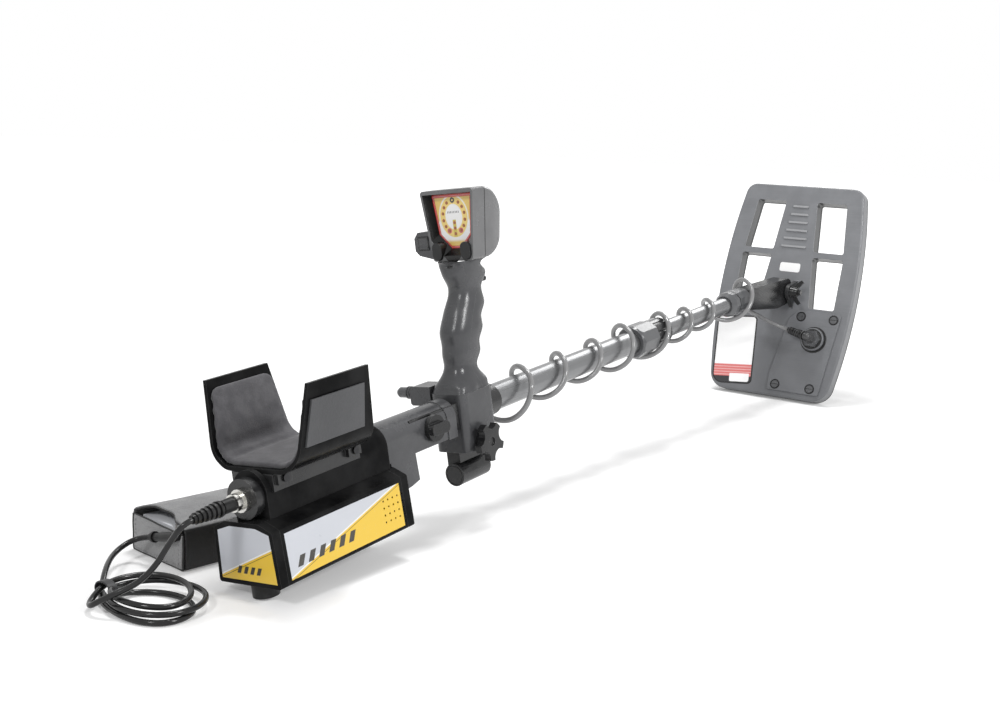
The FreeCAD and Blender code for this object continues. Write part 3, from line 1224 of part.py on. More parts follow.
turn_at = ("turn_y", "turn_z")
arm_skin = dome("arm_skin", "0", "arm_rear", "arm_front")
arm_room = dome("arm_room", "-arm_wall", "arm_rear - 1", "arm_front + 1")
arm_flange = dome("arm_flange_skin", "flange_proud", "arm_front - flange_long", "arm_front")
spigot_room = box("spigot_room", "-spigot_half - fit_gap", "spigot_half + fit_gap",
                  "spigot_rear - 1", "arm_front + 1", "-spigot_half - fit_gap",
                  "spigot_half - 1 + fit_gap")
pin_bore = rod("pin_bore", "x", "turn_pin_r + run_gap", "spigot_half + run_gap", "arm_half + 1",
               *turn_at)
arm_back = box("arm_back", "-30", "30", "arm_rear - 1", "spigot_rear - 6", "-30", "30")
rear_room = common("rear_room", arm_room, arm_back)
hanger_points = [("box_front", "hanger_floor - 3"), ("hanger_front - 10", "hanger_floor"),
                 ("hanger_front + 2", "hanger_floor + 3"), ("hanger_front", "arm_floor"),
                 ("box_front", "arm_floor")]
hanger_skin = prism("hanger_skin", "x", hanger_points, "-arm_half", "arm_half")
hanger_room = box("hanger_room", "-arm_half + hanger_wall", "arm_half - hanger_wall",
                  "box_front - 1", "hanger_front - 5", "hanger_floor - 9", "arm_floor - 3")
hanger = cut("hanger", hanger_skin, hanger_room)
arm_solid = fuse("arm_solid", arm_skin, arm_flange, hanger)
finish(cut("rear_arm", arm_solid, spigot_room, rear_room, pin_bore), "rear_arm", MACHINE)

housing_drum = rod("housing_drum", "y", "housing_r", "housing_rear", "housing_front")
housing_sill = box("housing_sill", "-housing_r", "housing_r", "housing_rear", "housing_front",
                   "box_crest", "0")
housing_skin = fuse("housing_skin", housing_drum, housing_sill)
housing_seat = dome("housing_seat", "fit_gap", "arm_rear - 0.2", "housing_front + 1")
housing_drop = box("housing_drop", "-15", "15", "housing_rear + 12", "arm_rear + 1",
                   "arm_floor + 1", "rest_floor - 4")
rest_flat = box("rest_flat", "-30", "30", "rail_rear - 1", "rail_front + 1", "rest_floor", "30")
socket_room = rod("socket_room", "y", "7.5", "housing_rear - 1", "housing_rear + 13",
                  "0", "-socket_drop")
finish(cut("housing_solid", housing_skin, housing_seat, housing_drop, rest_flat, socket_room),
       "rear_housing", MACHINE)

turn_in = "arm_half + run_gap"
turn_out = "arm_half + run_gap + turn_disc"
turn_disc_solid = rod("turn_disc_solid", "x", "turn_r", turn_in, turn_out, *turn_at)
wing_low = rod("wing_low", "x", "turn_wing_r", turn_out + " - 1", turn_out + " + turn_wing",
               "turn_y - turn_wing_half", "turn_z")
wing_high = rod("wing_high", "x", "turn_wing_r", turn_out + " - 1", turn_out + " + turn_wing",
                "turn_y + turn_wing_half", "turn_z")
wing_bar = box("wing_bar", turn_out + " - 1", turn_out + " + turn_wing",
               "turn_y - turn_wing_half", "turn_y + turn_wing_half", "turn_z - turn_wing_r",
               "turn_z + turn_wing_r")
turn_pin = rod("turn_pin", "x", "turn_pin_r", "spigot_half + run_gap", turn_in + " + 1", *turn_at)
finish(fuse("turn_solid", turn_disc_solid, wing_low, wing_high, wing_bar, turn_pin),
       "thumb_turn", MACHINE)

# ---------------------------------------------------------------- rear ring, socket and plug

socket_at = ("0", "-socket_drop")
ring_end = "housing_rear - ring_long"
finish(tube("rear_ring", "y", "ring_r", "7.5", ring_end, "housing_rear", *socket_at),
       "rear_ring", MACHINE)
socket_end = "housing_rear - ring_long - socket_proud"
socket_body = rod("socket_body", "y", "7.5 - fit_gap", ring_end + " - 1", "housing_rear + 12",
                  *socket_at)
socket_nut = facets("socket_nut", "y", "16", "socket_r", socket_end, ring_end, *socket_at)
socket_solid = fuse("socket_solid", socket_body, socket_nut)

plug_rear = "(housing_rear - ring_long - socket_proud - plug_long)"
boot_rear = "(%s - boot_long)" % plug_rear
plug_barrel = rod("plug_barrel", "y", "plug_r", plug_rear, socket_end, *socket_at)
plug_boot = taper("plug_boot", "y", "lead_r + 1.3", "plug_r - 1", boot_rear, plug_rear, *socket_at)
boot_rings = []
for step in range(int(size("boot_ribs"))):
    rib_start = "%s + %.1f" % (boot_rear, 3.0 + 4.6 * step)
    boot_rings.append(rod("boot_rib_%d" % (step + 1), "y", "lead_r + %.2f" % (2.4 + 0.42 * step),
                          rib_start, rib_start + " + 2.6", *socket_at))
finish(fuse("plug_solid", plug_barrel, plug_boot, *boot_rings), "plug_body", MACHINE)
plug_ring = tube("plug_ring", "y", "plug_r + 1.6", "plug_r + fit_gap", socket_end + " - 7",
                 socket_end, *socket_at)
group("panel_socket", MACHINE, socket_solid, plug_ring)

# ---------------------------------------------------------------- armrest

rest_outer = mirrored([("rest_floor_half", "rest_floor"), ("rest_turn_half", "rest_turn"),
                       ("rest_top_half", "rest_top")])
rest_inner = mirrored([("rest_floor_half - 0.35 * rest_wall", "rest_floor + rest_wall"),
                       ("rest_turn_half - 0.9 * rest_wall", "rest_turn + 0.5 * rest_wall"),
                       ("rest_top_half - rest_wall + 0.16", "rest_top + 1")])
pad_inner = mirrored([("rest_floor_half - 0.35 * (rest_wall + pad_thick)",
                       "rest_floor + rest_wall + pad_thick"),
                      ("rest_turn_half - 0.9 * (rest_wall + pad_thick)",
                       "rest_turn + 0.5 * (rest_wall + pad_thick)"),
                      ("rest_top_half - rest_wall - pad_thick + 0.16", "rest_top + 1")])


def bends(body, radius):
    """Round the four bends of an armrest section."""
    return soften(body, radius, both(runs_along("y"), lies_under("z", "rest_top - 5")))


rest_blank = bends(prism("rest_blank", "y", rest_outer, "rest_rear", "rest_front"),
                   "rest_bend + pad_thick + rest_wall")
rest_room = bends(prism("rest_room", "y", rest_inner, "rest_rear - 1", "rest_front + 1"),
                  "rest_bend + pad_thick")
rear_rake = prism("rear_rake", "x",
                  [("rest_rear - 2", "rest_floor"), ("rest_rear", "rest_floor"),
                   ("rest_rear + rest_rear_rake", "rest_top + 1"),
                   ("rest_rear - 2", "rest_top + 1")], "-80", "80")
front_rake = prism("front_rake", "x",
                   [("rest_front", "rest_floor"), ("rest_front + 2", "rest_floor"),
                    ("rest_front + 2", "rest_top + 1"),
                    ("rest_front - rest_front_rake", "rest_top + 1")], "-80", "80")
finish(cut("rest_shell", rest_blank, rest_room, rear_rake, front_rake), "armrest_cradle", MACHINE)

pad_blank = bends(prism("pad_blank", "y", rest_inner, "rest_rear + 3", "rest_front - 2"),
                  "rest_bend + pad_thick")
pad_room = bends(prism("pad_room", "y", pad_inner, "rest_rear - 1", "rest_front + 1"),
                 "rest_bend")
pad_cap = box("pad_cap", "-80", "80", "rest_rear - 5", "rest_front + 5", "rest_top - pad_short",
              "rest_top + 5")
pad_rake = prism("pad_rake", "x",
                 [("rest_rear + 2", "rest_floor"), ("rest_rear + 3", "rest_floor"),
                  ("rest_rear + rest_rear_rake + 3", "rest_top + 1"),
                  ("rest_rear + 2", "rest_top + 1")], "-80", "80")
pad_front = prism("pad_front", "x",
                  [("rest_front - 3", "rest_floor"), ("rest_front + 2", "rest_floor"),
                   ("rest_front + 2", "rest_top + 1"),
                   ("rest_front - rest_front_rake - 3", "rest_top + 1")], "-80", "80")
finish(cut("pad_solid", pad_blank, pad_room, pad_cap, pad_rake, pad_front), "armrest_pad", MACHINE)

side_slope = "(rest_top_half - rest_turn_half) / (rest_top - rest_turn)"
plate_low_half = "rest_turn_half + (plate_low - rest_turn) * %s" % side_slope
plate_top_half = "rest_turn_half + (plate_top - rest_turn) * %s" % side_slope
plate_points = [(plate_low_half, "plate_low"), (plate_low_half + " + plate_thick", "plate_low"),
                (plate_top_half + " + plate_thick", "plate_top"), (plate_top_half, "plate_top")]
left_plate_points = [("-(%s)" % x, z) for x, z in reversed(plate_points)]
plates = []
for side, points in (("right", plate_points), ("left", left_plate_points)):
    plate_blank = prism(side + "_plate_blank", "y", points, "rest_rear", "plate_front")
    plate_rake = prism(side + "_plate_rake", "x",
                       [("rest_rear - 1", "rest_floor"), ("rest_rear + plate_inset", "rest_floor"),
                        ("rest_rear + rest_rear_rake + plate_inset", "rest_top + 1"),
                        ("rest_rear - 1", "rest_top + 1")], "-80", "80")
    plates.append(cut(side + "_plate", plate_blank, plate_rake))
group("armrest_plates", MACHINE, *plates)

rail_skin = box("rail_skin", "-rail_half", "rail_half", "rail_rear", "rail_front",
                "rail_floor", "rest_floor")
rail_lugs = [box("rail_lug_%d" % (number + 1), "-lug_half", "lug_half", start,
                 start + " + lug_long", "rest_floor - 9", "rest_floor")
             for number, start in enumerate(("rail_rear + 2", "rail_front - 2 - lug_long"))]
rail_room = rod("rail_room", "y", "housing_r + fit_gap", "rail_rear - 1", "rail_front + 1")
rail_gate = box("rail_gate", "-12.6", "12.6", "rail_rear - 1", "rail_front + 1", "rail_floor",
                "rest_floor + 1")
rail_bores = []
rest_screws = []
rest_screw_row = "rest_floor - 4.5"
LUG_SIDES = [("-lug_half - 2", "-lug_half", "-lug_half - 2", "-lug_half + 6"),
             ("lug_half", "lug_half + 2", "lug_half - 6", "lug_half + 2")]
for along in ("rail_rear + 2 + lug_long / 2", "rail_front - 2 - lug_long / 2"):
    for head_start, head_end, shank_start, shank_end in LUG_SIDES:
        name = "rest_screw_%d" % (len(rest_screws) + 1)
        head = rod(name + "_head", "x", "3.4", head_start, head_end, along, rest_screw_row)
        shank = rod(name + "_shank", "x", "1.6", shank_start, shank_end, along, rest_screw_row)
        rail_bores.append(rod(name + "_bore", "x", "1.6", shank_start, shank_end, along,
                              rest_screw_row))
        rest_screws.append(fuse(name, head, shank))
finish(cut("rail_solid", fuse("rail_whole", rail_skin, *rail_lugs), rail_room, rail_gate,
           *rail_bores), "armrest_rail", MACHINE)

# ---------------------------------------------------------------- control box

box_outer = mirrored([("box_floor_half", "box_floor"), ("box_top_half", "box_shoulder"),
                      ("box_crest_half", "box_crest")])
box_inner = mirrored([("box_floor_half - box_wall", "box_floor + box_wall"),
                      ("box_top_half - box_wall", "box_shoulder - 0.7 * box_wall"),
                      ("box_crest_half - 0.5 * box_wall", "box_crest - box_wall")])
shell_rear = "box_rear + cap_long"
shell_front = "box_front - cap_long"
box_skin = soften(prism("box_skin", "y", box_outer, shell_rear, shell_front), "2.5",
                  runs_along("y"))
box_room = prism("box_room", "y", box_inner, shell_rear + " - 1", shell_front + " + 1")

box_slope = "(box_floor_half - box_top_half) / (box_shoulder - box_floor)"
panel_foot = "box_floor + panel_edge"
panel_head = "box_shoulder - panel_edge"
foot_half = "(box_floor_half - panel_edge * %s)" % box_slope
head_half = "(box_top_half + panel_edge * %s)" % box_slope


def panel_points(side, inset):
    """The section of a side panel: a thin strip that follows the box's side."""
    points = [(foot_half + " - panel_sink", panel_foot), (foot_half + inset, panel_foot),
              (head_half + inset, panel_head), (head_half + " - panel_sink", panel_head)]
    if side == "left":
        points = [("-(%s)" % x, z) for x, z in reversed(points)]
    return points


panel_rear = "box_rear + cap_long + panel_edge"
panel_front = "box_front - cap_long - panel_edge"
panel_rooms = [prism(side + "_panel_room", "y", panel_points(side, " + 2"), panel_rear,
                     panel_front) for side in ("right", "left")]
SPEAKER_GRID = [(column, row) for column in range(5) for row in range(4)]


def speaker_holes(name, inner, outer):
    """The round sound holes in the right side, as tools."""
    tools = []
    for column, row in SPEAKER_GRID:
        along = "speaker_y + %.1f * hole_pitch" % (column - 2)
        over = "(box_shoulder + box_floor) / 2 + %.1f * hole_pitch" % (row - 1.5)
        tools.append(rod("%s_%d_%d" % (name, column, row), "x", "hole_r", inner, outer,
                         along, over))
    return tools


finish(cut("box_body", box_skin, box_room, *(panel_rooms + speaker_holes(
    "shell_hole", "box_top_half - 6", "box_floor_half + 2"))), "box_shell", MACHINE)
right_panel = cut("right_panel", prism("right_panel_skin", "y", panel_points("right", ""),
                                       panel_rear, panel_front),
                  *speaker_holes("panel_hole", "box_top_half - 6", "box_floor_half + 2"))
left_panel = prism("left_panel_skin", "y", panel_points("left", ""), panel_rear, panel_front)

rear_cap = soften(prism("rear_cap", "y", box_outer, "box_rear", shell_rear), "2.5",
                  runs_along("y"))
rear_points = mirrored([("box_floor_half - panel_edge", "box_floor + panel_edge"),
                        ("box_top_half - panel_edge", "box_shoulder - 0.5 * panel_edge"),
                        ("box_crest_half - panel_edge", "box_crest - panel_edge")])
rear_panel_room = prism("rear_panel_room", "y", rear_points, "box_rear - 1",
                        "box_rear + panel_sink")
cap_room = prism("cap_room", "y", box_inner, "box_rear + 3", shell_rear + " + 1")
rear_cap_solid = cut("rear_cap_solid", rear_cap, rear_panel_room, cap_room)
rear_panel = prism("rear_panel", "y", rear_points, "box_rear", "box_rear + panel_sink")
group("box_panels", MACHINE, right_panel, left_panel, rear_panel)
front_cap = soften(prism("front_cap", "y", box_outer, shell_front, "box_front"), "2.5",
                   runs_along("y"))
front_room = prism("front_room", "y", box_inner, shell_front + " - 1", "box_front - 3")
group("box_caps", MACHINE, rear_cap_solid, cut("front_cap_solid", front_cap, front_room))

speaker_out = "box_top_half - box_wall - 0.4"
speaker_cone = rod("speaker_cone", "x", "speaker_r", speaker_out + " - 4", speaker_out,
                   "speaker_y", "(box_shoulder + box_floor) / 2")
speaker_magnet = rod("speaker_magnet", "x", "speaker_r * 0.55", speaker_out + " - speaker_deep",
                     speaker_out + " - 3.9", "speaker_y", "(box_shoulder + box_floor) / 2")
finish(fuse("speaker_solid", speaker_cone, speaker_magnet), "speaker", MACHINE)

board_top = "board_drop + board_thick"
board_plate = box("board_plate", "-board_half", "board_half - 12", "box_rear + 20",
                  "box_front - 20", "board_drop", board_top)
board_posts = [rod("board_post_%d" % (number + 1), "z", "3", "box_floor + box_wall", "board_drop",
                   x, y)
               for number, (x, y) in enumerate((x, y) for x in ("-board_half + 5",
                                                                "board_half - 17")
                                               for y in ("box_rear + 26", "box_front - 26"))]
board_cans = [box("board_can_%d" % (number + 1), "-board_half + 8", "-board_half + 26",
                  "box_rear + %d" % start, "box_rear + %d" % (start + 22), board_top + " - 0.1",
                  board_top + " + 8") for number, start in enumerate((34, 66, 98))]
box_board = fuse("box_board", board_plate, *(board_posts + board_cans))
group("circuit_boards", MACHINE, box_board, display_board)

cap_screws = []
for number, (x, z) in enumerate([("-box_floor_half + 8", "box_floor + 7"),
                                 ("box_floor_half - 8", "box_floor + 7"),
                                 ("-box_top_half + 8", "box_shoulder - 5"),
                                 ("box_top_half - 8", "box_shoulder - 5")], start=1):
    cap_screws.append(taper("cap_screw_%d" % number, "y", "3", "2.2", "box_front",
                            "box_front + 1.6", x, z))
group("housing_screws", MACHINE, *(rest_screws + cap_screws))

# The rubber foot is as long as brings its lowest rim to the floor.
foot_rim = MACHINE.Rotation.multVec(Vector(0, 0, 1))
rim_drop = size("foot_r") * math.hypot(MACHINE.Rotation.multVec(Vector(1, 0, 0)).z,
                                       MACHINE.Rotation.multVec(Vector(0, 1, 0)).z)
foot_top = MACHINE.multVec(Vector(size("foot_x"), size("foot_y"), size("box_floor")))
foot_long = (foot_top.z - rim_drop) / foot_rim.z
group("box_foot", MACHINE, rod("foot", "z", "foot_r", "box_floor - %.4f" % foot_long,
                               "box_floor", "foot_x", "foot_y"))

# ---------------------------------------------------------------- pouch and battery

pouch_outer = [("-pouch_half", "0"), ("pouch_half", "0"), ("pouch_half", "pouch_side"),
               ("pouch_half * 0.45", "pouch_high"), ("-pouch_half * 0.45", "pouch_high"),
               ("-pouch_half", "pouch_side")]
pouch_inner = [("-pouch_half + pouch_wall", "pouch_wall"),
               ("pouch_half - pouch_wall", "pouch_wall"),
               ("pouch_half - pouch_wall", "pouch_side - 0.7 * pouch_wall"),
               ("pouch_half * 0.44", "pouch_high - pouch_wall"),
               ("-pouch_half * 0.44", "pouch_high - pouch_wall"),
               ("-pouch_half + pouch_wall", "pouch_side - 0.7 * pouch_wall")]
pouch_skin = soften(prism("pouch_skin", "y", pouch_outer, "0", "pouch_long"), "2.5",
                    runs_along("y"))
pouch_room = prism("pouch_room", "y", pouch_inner, "pouch_wall", "pouch_long - pouch_wall")
pouch_mouth = box("pouch_mouth", "-pouch_half * 0.72", "pouch_half * 0.55", "-1", "pouch_wall + 1",
                  "pouch_side - 12", "pouch_side - 2")
finish(cut("pouch_solid", pouch_skin, pouch_room, pouch_mouth), "pouch", POUCH)
battery_skin = box("battery_skin", "-battery_half", "battery_half", "pouch_wall + 5",
                   "pouch_wall + 5 + battery_long", "pouch_wall", "pouch_wall + battery_high")
group("battery_pack", POUCH, battery_skin)

# ---------------------------------------------------------------- cords

# The search head's cable leaves its plug forwards, passes under the shaft and winds round it,
# six points to a turn. Each turn's crest has a place along the shaft and a radius.
CRESTS = [(27.5, 22.5), (106.5, 20.6), (184.8, 20.2), (252.3, 25.6), (352.0, 23.2),
          (420.4, 17.2), (490.2, 17.2), (611.6, 27.3)]
POINTS_PER_TURN = 6
SWING = 1.13


def wound(first, last):
    """Points of the winding from crest first up to crest last, every sixth of a turn."""
    points = []
    for number in range(first, last):
        (y_1, r_1), (y_2, r_2) = CRESTS[number], CRESTS[number + 1]
        for step in range(POINTS_PER_TURN):
            share = step / POINTS_PER_TURN
            angle = math.pi / 2 + 2 * math.pi * share
            radius = (r_1 + (r_2 - r_1) * share) * SWING
            points.append(Vector(radius * math.cos(angle), y_1 + (y_2 - y_1) * share,
                                 radius * math.sin(angle)))
    return points


def placed(frame, points):
    return [frame.multVec(point) for point in points]


plug_mouth = amount_of(plug_end) + 8
plug_over = size("conn_floor") + 9
plug_x = size("cable_plug_x")
cable_start = [Vector(plug_x, plug_mouth - 4, plug_over), Vector(plug_x, plug_mouth + 9, plug_over),
               Vector(-33, -32, 7), Vector(-25, -22, -13), Vector(-9, -13, -28),
               Vector(10, -5, -29), Vector(25, 5, -13), Vector(25, 17, 13)]
y_last, r_last = CRESTS[-1]
cable_end = [Vector(0, y_last, r_last * SWING), Vector(-25, y_last + 16, 14),
             Vector(-25, y_last + 33, -14), Vector(-9, 662, -33)]
boot_step = (BOOT_TIP - boot_bend).normalize()
face_end = [Vector(-8, 110.5, 66), Vector(-5, 108.5, 47), Vector(2, 106.5, 30),
            BOOT_TIP + boot_step * 14, BOOT_TIP]
cable_way = placed(MACHINE, cable_start + wound(0, len(CRESTS) - 1) + cable_end)
cable_way += placed(COIL, face_end)


def halved(points, first, last):
    """A stretch of a route that begins and ends halfway along its runs."""
    stretch = points[first:last]
    if first:
        stretch = [(points[first - 1] + points[first]) / 2] + stretch
    if last < len(points):
        stretch = stretch + [(points[last - 1] + points[last]) / 2]
    return stretch


head_count = len(cable_start)
rear_end = head_count + 3 * POINTS_PER_TURN + 1
mid_end = head_count + 5 * POINTS_PER_TURN + 1
CABLE_R = size("cable_r")
for node, first, last in (("cable_rear", 0, rear_end), ("cable_mid", rear_end, mid_end),
                          ("cable_tail", mid_end, len(cable_way))):
    finish(shaped(node + "_cord", swept(halved(cable_way, first, last), CABLE_R)), node, GROUND)

# The battery lead drops from the plug's boot to the floor, turns back under a tie into a hank
# of loops, and climbs from the hank to the boot on the pouch.
LEAD_R = size("lead_r")
lead_top = MACHINE.multVec(Vector(0, amount_of(boot_rear) + 4, -size("socket_drop")))
lead_exit = MACHINE.multVec(Vector(0, amount_of(boot_rear) - 9, -size("socket_drop")))
loops_middle = Vector(size("loops_x"), size("loops_y"), 0)
plug_lead = [lead_top, lead_exit, Vector(17, -667, 61), Vector(1, -678, 37), Vector(-16, -692, 18),
             Vector(-33, -704, 7), Vector(-50, -700, 4.6), Vector(-54, -686, 4.2),
             Vector(-44, -674, 4)]
POUCH_BOOT_ROOT = Vector(-62, -597.5, 31)
POUCH_BOOT_TIP = Vector(-94, -596, 23.5)
boot_run = (POUCH_BOOT_TIP - POUCH_BOOT_ROOT).normalize()
pouch_lead = [Vector(-43, -667, 4), Vector(-57, -670, 5), Vector(-74, -661, 7),
              Vector(-91, -644, 10), Vector(-103, -625, 14), Vector(-106, -607, 18),
              POUCH_BOOT_TIP + boot_run * 7, POUCH_BOOT_TIP - boot_run * 4]
group("battery_lead", GROUND, shaped("plug_cord", swept(plug_lead, LEAD_R)),
      shaped("pouch_cord", swept(pouch_lead, LEAD_R)))

loops_at = ("loops_x", "loops_y")
hank = tube("hank", "z", "loops_r", "loops_hole_r", "0.3", "0.3 + loops_high", *loops_at)
finish(hank, "lead_loops", GROUND)

boot_cone = Part.makeCone(size("pouch_boot_r"), size("pouch_boot_tip_r"),
                          (POUCH_BOOT_TIP - POUCH_BOOT_ROOT).Length, POUCH_BOOT_ROOT, boot_run)
boot_collar = Part.makeCylinder(size("pouch_collar_r"), 2.4, POUCH_BOOT_TIP - boot_run * 7, boot_run)
boot_entry = Part.makeCylinder(4.4, 9.0, POUCH_BOOT_ROOT, Vector(0.35, 1.0, 0.05))
boot_ball = Part.makeSphere(size("pouch_boot_r"), POUCH_BOOT_ROOT)
finish(shaped("pouch_boot_shape", boot_cone.fuse([boot_collar, boot_entry, boot_ball])),
       "pouch_boot", GROUND)

doc.recompute()
FAILED = [item.Name for item in doc.Objects if {"Invalid", "Error"} & set(item.State)]
for piece in PIECES:
    if piece.Shape.isNull() or not piece.Shape.isValid():
        FAILED.append(piece.Label)
if FAILED:
    raise RuntimeError("failed objects: " + ", ".join(FAILED))
os.makedirs("parts", exist_ok=True)
for piece in PIECES:
    piece.Shape.exportStep("parts/%s.step" % piece.Label)
    print(piece.Label, round(piece.Shape.Volume), len(piece.Shape.Solids))
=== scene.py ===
"""The metal detector's looks: finishes, cords, soft pieces, printed faces and the stage."""
import math

import bpy
from mathutils import Matrix, Vector, noise


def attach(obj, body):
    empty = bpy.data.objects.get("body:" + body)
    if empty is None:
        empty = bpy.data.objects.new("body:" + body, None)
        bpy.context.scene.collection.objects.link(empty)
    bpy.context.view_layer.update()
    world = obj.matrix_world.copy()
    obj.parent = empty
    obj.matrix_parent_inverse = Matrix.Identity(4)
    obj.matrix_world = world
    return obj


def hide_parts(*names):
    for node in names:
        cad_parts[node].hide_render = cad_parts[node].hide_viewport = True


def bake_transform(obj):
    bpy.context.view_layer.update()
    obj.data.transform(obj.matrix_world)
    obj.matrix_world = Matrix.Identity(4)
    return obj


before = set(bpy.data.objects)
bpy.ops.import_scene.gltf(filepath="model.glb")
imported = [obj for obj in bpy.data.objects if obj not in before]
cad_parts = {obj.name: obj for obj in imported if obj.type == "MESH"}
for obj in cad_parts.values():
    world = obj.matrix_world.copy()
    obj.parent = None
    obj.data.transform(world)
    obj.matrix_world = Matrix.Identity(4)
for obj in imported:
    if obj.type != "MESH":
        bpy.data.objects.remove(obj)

bl_info = {
    "name": "Metal Detector Dressing",
    "version": (1, 0, 0),
    "blender": (4, 5, 0),
    "location": "View3D > Sidebar > Detector",
    "description": "Finishes, cords, soft pieces and printed faces of a metal detector",
    "category": "Object",
}

bpy.context.view_layer.update()

# The frames that the machine, its straight shaft, the search head and the pouch are drawn in.
SHAFT_AT = Vector((0.027, -0.224, 0.1169))
LIFT = Matrix.Rotation(math.radians(4.55), 4, "X")
LEAN = Matrix.Rotation(math.radians(-7.53), 4, "Y")
MACHINE = Matrix.Translation(SHAFT_AT) @ LIFT @ LEAN
SHAFT = Matrix.Translation(SHAFT_AT) @ LIFT
COIL = Matrix.Translation((0.027, 0.49326, 0.00646)) @ Matrix.Rotation(math.radians(73.27), 4, "X")
POUCH = Matrix.Translation((-0.093, -0.5895, 0.0)) @ Matrix.Rotation(math.radians(-8.0), 4, "Z")
MM = 0.001


# ---------------------------------------------------------------- settings


class DetectorColours(bpy.types.PropertyGroup):
    """Colours of the detector's finishes"""

    moulding: bpy.props.FloatVectorProperty(
        name="Moulding", description="Colour of the black moulded housings",
        subtype="COLOR", size=3, min=0, max=1, default=(0.012, 0.0122, 0.013))
    grip: bpy.props.FloatVectorProperty(
        name="Grip", description="Colour of the handle, the display head and the rear arm",
        subtype="COLOR", size=3, min=0, max=1, default=(0.06, 0.061, 0.065))
    fittings: bpy.props.FloatVectorProperty(
        name="Fittings", description="Colour of the nuts, knobs, buttons and screws",
        subtype="COLOR", size=3, min=0, max=1, default=(0.085, 0.087, 0.092))
    tube: bpy.props.FloatVectorProperty(
        name="Tube", description="Colour of the shaft's two tubes",
        subtype="COLOR", size=3, min=0, max=1, default=(0.21, 0.213, 0.218))
    search_head: bpy.props.FloatVectorProperty(
        name="Search head", description="Colour of the search head's shell",
        subtype="COLOR", size=3, min=0, max=1, default=(0.185, 0.19, 0.202))
    silver: bpy.props.FloatVectorProperty(
        name="Silver", description="Grey field of the printed panels",
        subtype="COLOR", size=3, min=0, max=1, default=(0.6, 0.62, 0.67))
    yellow: bpy.props.FloatVectorProperty(
        name="Yellow", description="Yellow of the printed panels and the display",
        subtype="COLOR", size=3, min=0, max=1, default=(0.82, 0.54, 0.04))
    red: bpy.props.FloatVectorProperty(
        name="Red", description="Border of the display and band of the label",
        subtype="COLOR", size=3, min=0, max=1, default=(0.62, 0.025, 0.02))
    leather: bpy.props.FloatVectorProperty(
        name="Leather", description="Colour of the pouch",
        subtype="COLOR", size=3, min=0, max=1, default=(0.26, 0.26, 0.264))
    cord: bpy.props.FloatVectorProperty(
        name="Cord", description="Colour of the cords' jackets and of the rubber",
        subtype="COLOR", size=3, min=0, max=1, default=(0.075, 0.075, 0.078))


class DetectorSizes(bpy.types.PropertyGroup):
    """Sizes of the pieces that this script models"""

    cable: bpy.props.FloatProperty(
        name="Cable", description="Diameter of the search head's cable",
        unit="LENGTH", min=0.004, max=0.008, default=0.006)
    lead: bpy.props.FloatProperty(
        name="Lead", description="Diameter of the battery lead",
        unit="LENGTH", min=0.003, max=0.006, default=0.005)
    stitch: bpy.props.FloatProperty(
        name="Stitch", description="Spacing of the pouch's stitches",
        unit="LENGTH", min=0.002, max=0.008, default=0.0042)
    label: bpy.props.FloatProperty(
        name="Label", description="Thickness of the stuck-on labels",
        unit="LENGTH", min=0.0001, max=0.001, default=0.00025)


# ---------------------------------------------------------------- node helpers


def put(tree, socket, value):
    """Link a socket to another one, or set it to a value."""
    if isinstance(value, bpy.types.NodeSocket):
        tree.links.new(value, socket)
    else:
        socket.default_value = value


def feed(tree, node, **sockets):
    """Link or set a node's inputs, each named with underscores for its spaces."""
    for name, value in sockets.items():
        put(tree, node.inputs[name.replace("_", " ")], value)


def add(tree, kind, settings=None, **inputs):
    """A shader node; settings are its own options and inputs its sockets."""
    made = tree.nodes.new("ShaderNode" + kind)
    for name, value in (settings or {}).items():
        setattr(made, name, value)
    feed(tree, made, **inputs)
    return made


def maths(tree, operation, first, second=0.0, third=0.0, clamp=False):
    """The result of one Math node."""
    made = add(tree, "Math", {"operation": operation, "use_clamp": clamp})
    for socket, value in zip(made.inputs, (first, second, third)):
        put(tree, socket, value)
    return made.outputs[0]


def product(tree, *values):
    """Several values or masks multiplied."""
    made = values[0]
    for value in values[1:]:
        made = maths(tree, "MULTIPLY", made, value)
    return made


def difference(tree, first, second):
    """How far apart two values are."""
    return maths(tree, "ABSOLUTE", maths(tree, "SUBTRACT", first, second))


def diagonal(tree, first, second):
    """How far a point is from the middle, from its places along two axes."""
    squares = [maths(tree, "MULTIPLY", side, side) for side in (first, second)]
    return maths(tree, "SQRT", maths(tree, "ADD", *squares))


def vector_maths(tree, operation, *values):
    """The outputs of one Vector Math node."""
    made = add(tree, "VectorMath", {"operation": operation})
    for socket, value in zip(made.inputs, values):
        put(tree, socket, value)
    return made.outputs


def mixed(tree, share, first, second):
    """Two colours mixed by a share."""
    made = add(tree, "Mix", {"data_type": "RGBA"})
    put(tree, made.inputs[0], share)
    for socket, colour in zip(made.inputs[6:8], (first, second)):
        if not isinstance(colour, bpy.types.NodeSocket):
            colour = (*colour[:3], 1.0)
        put(tree, socket, colour)
    return made.outputs[2]


def mixed_values(tree, share, first, second):
    """Two values mixed by a share."""
    made = add(tree, "Mix", {"data_type": "FLOAT"})
    for index, value in ((0, share), (2, first), (3, second)):
        put(tree, made.inputs[index], value)
    return made.outputs[0]


def ramp(tree, value, low, high, start=0.0, end=1.0):
    """A value mapped smoothly from low..high to start..end."""
    return add(tree, "MapRange", {"interpolation_type": "SMOOTHSTEP", "clamp": True}, Value=value,
               From_Min=low, From_Max=high, To_Min=start, To_Max=end).outputs["Result"]


def object_space(tree):
    """Places in the shared frame."""
    return add(tree, "TexCoord").outputs["Object"]


def placed_in(tree, matrix):
    """Places in one of the machine's own frames."""
    return add(tree, "Mapping", {"vector_type": "TEXTURE"}, Vector=object_space(tree),
               Location=matrix.translation, Rotation=matrix.to_euler("XYZ")).outputs["Vector"]


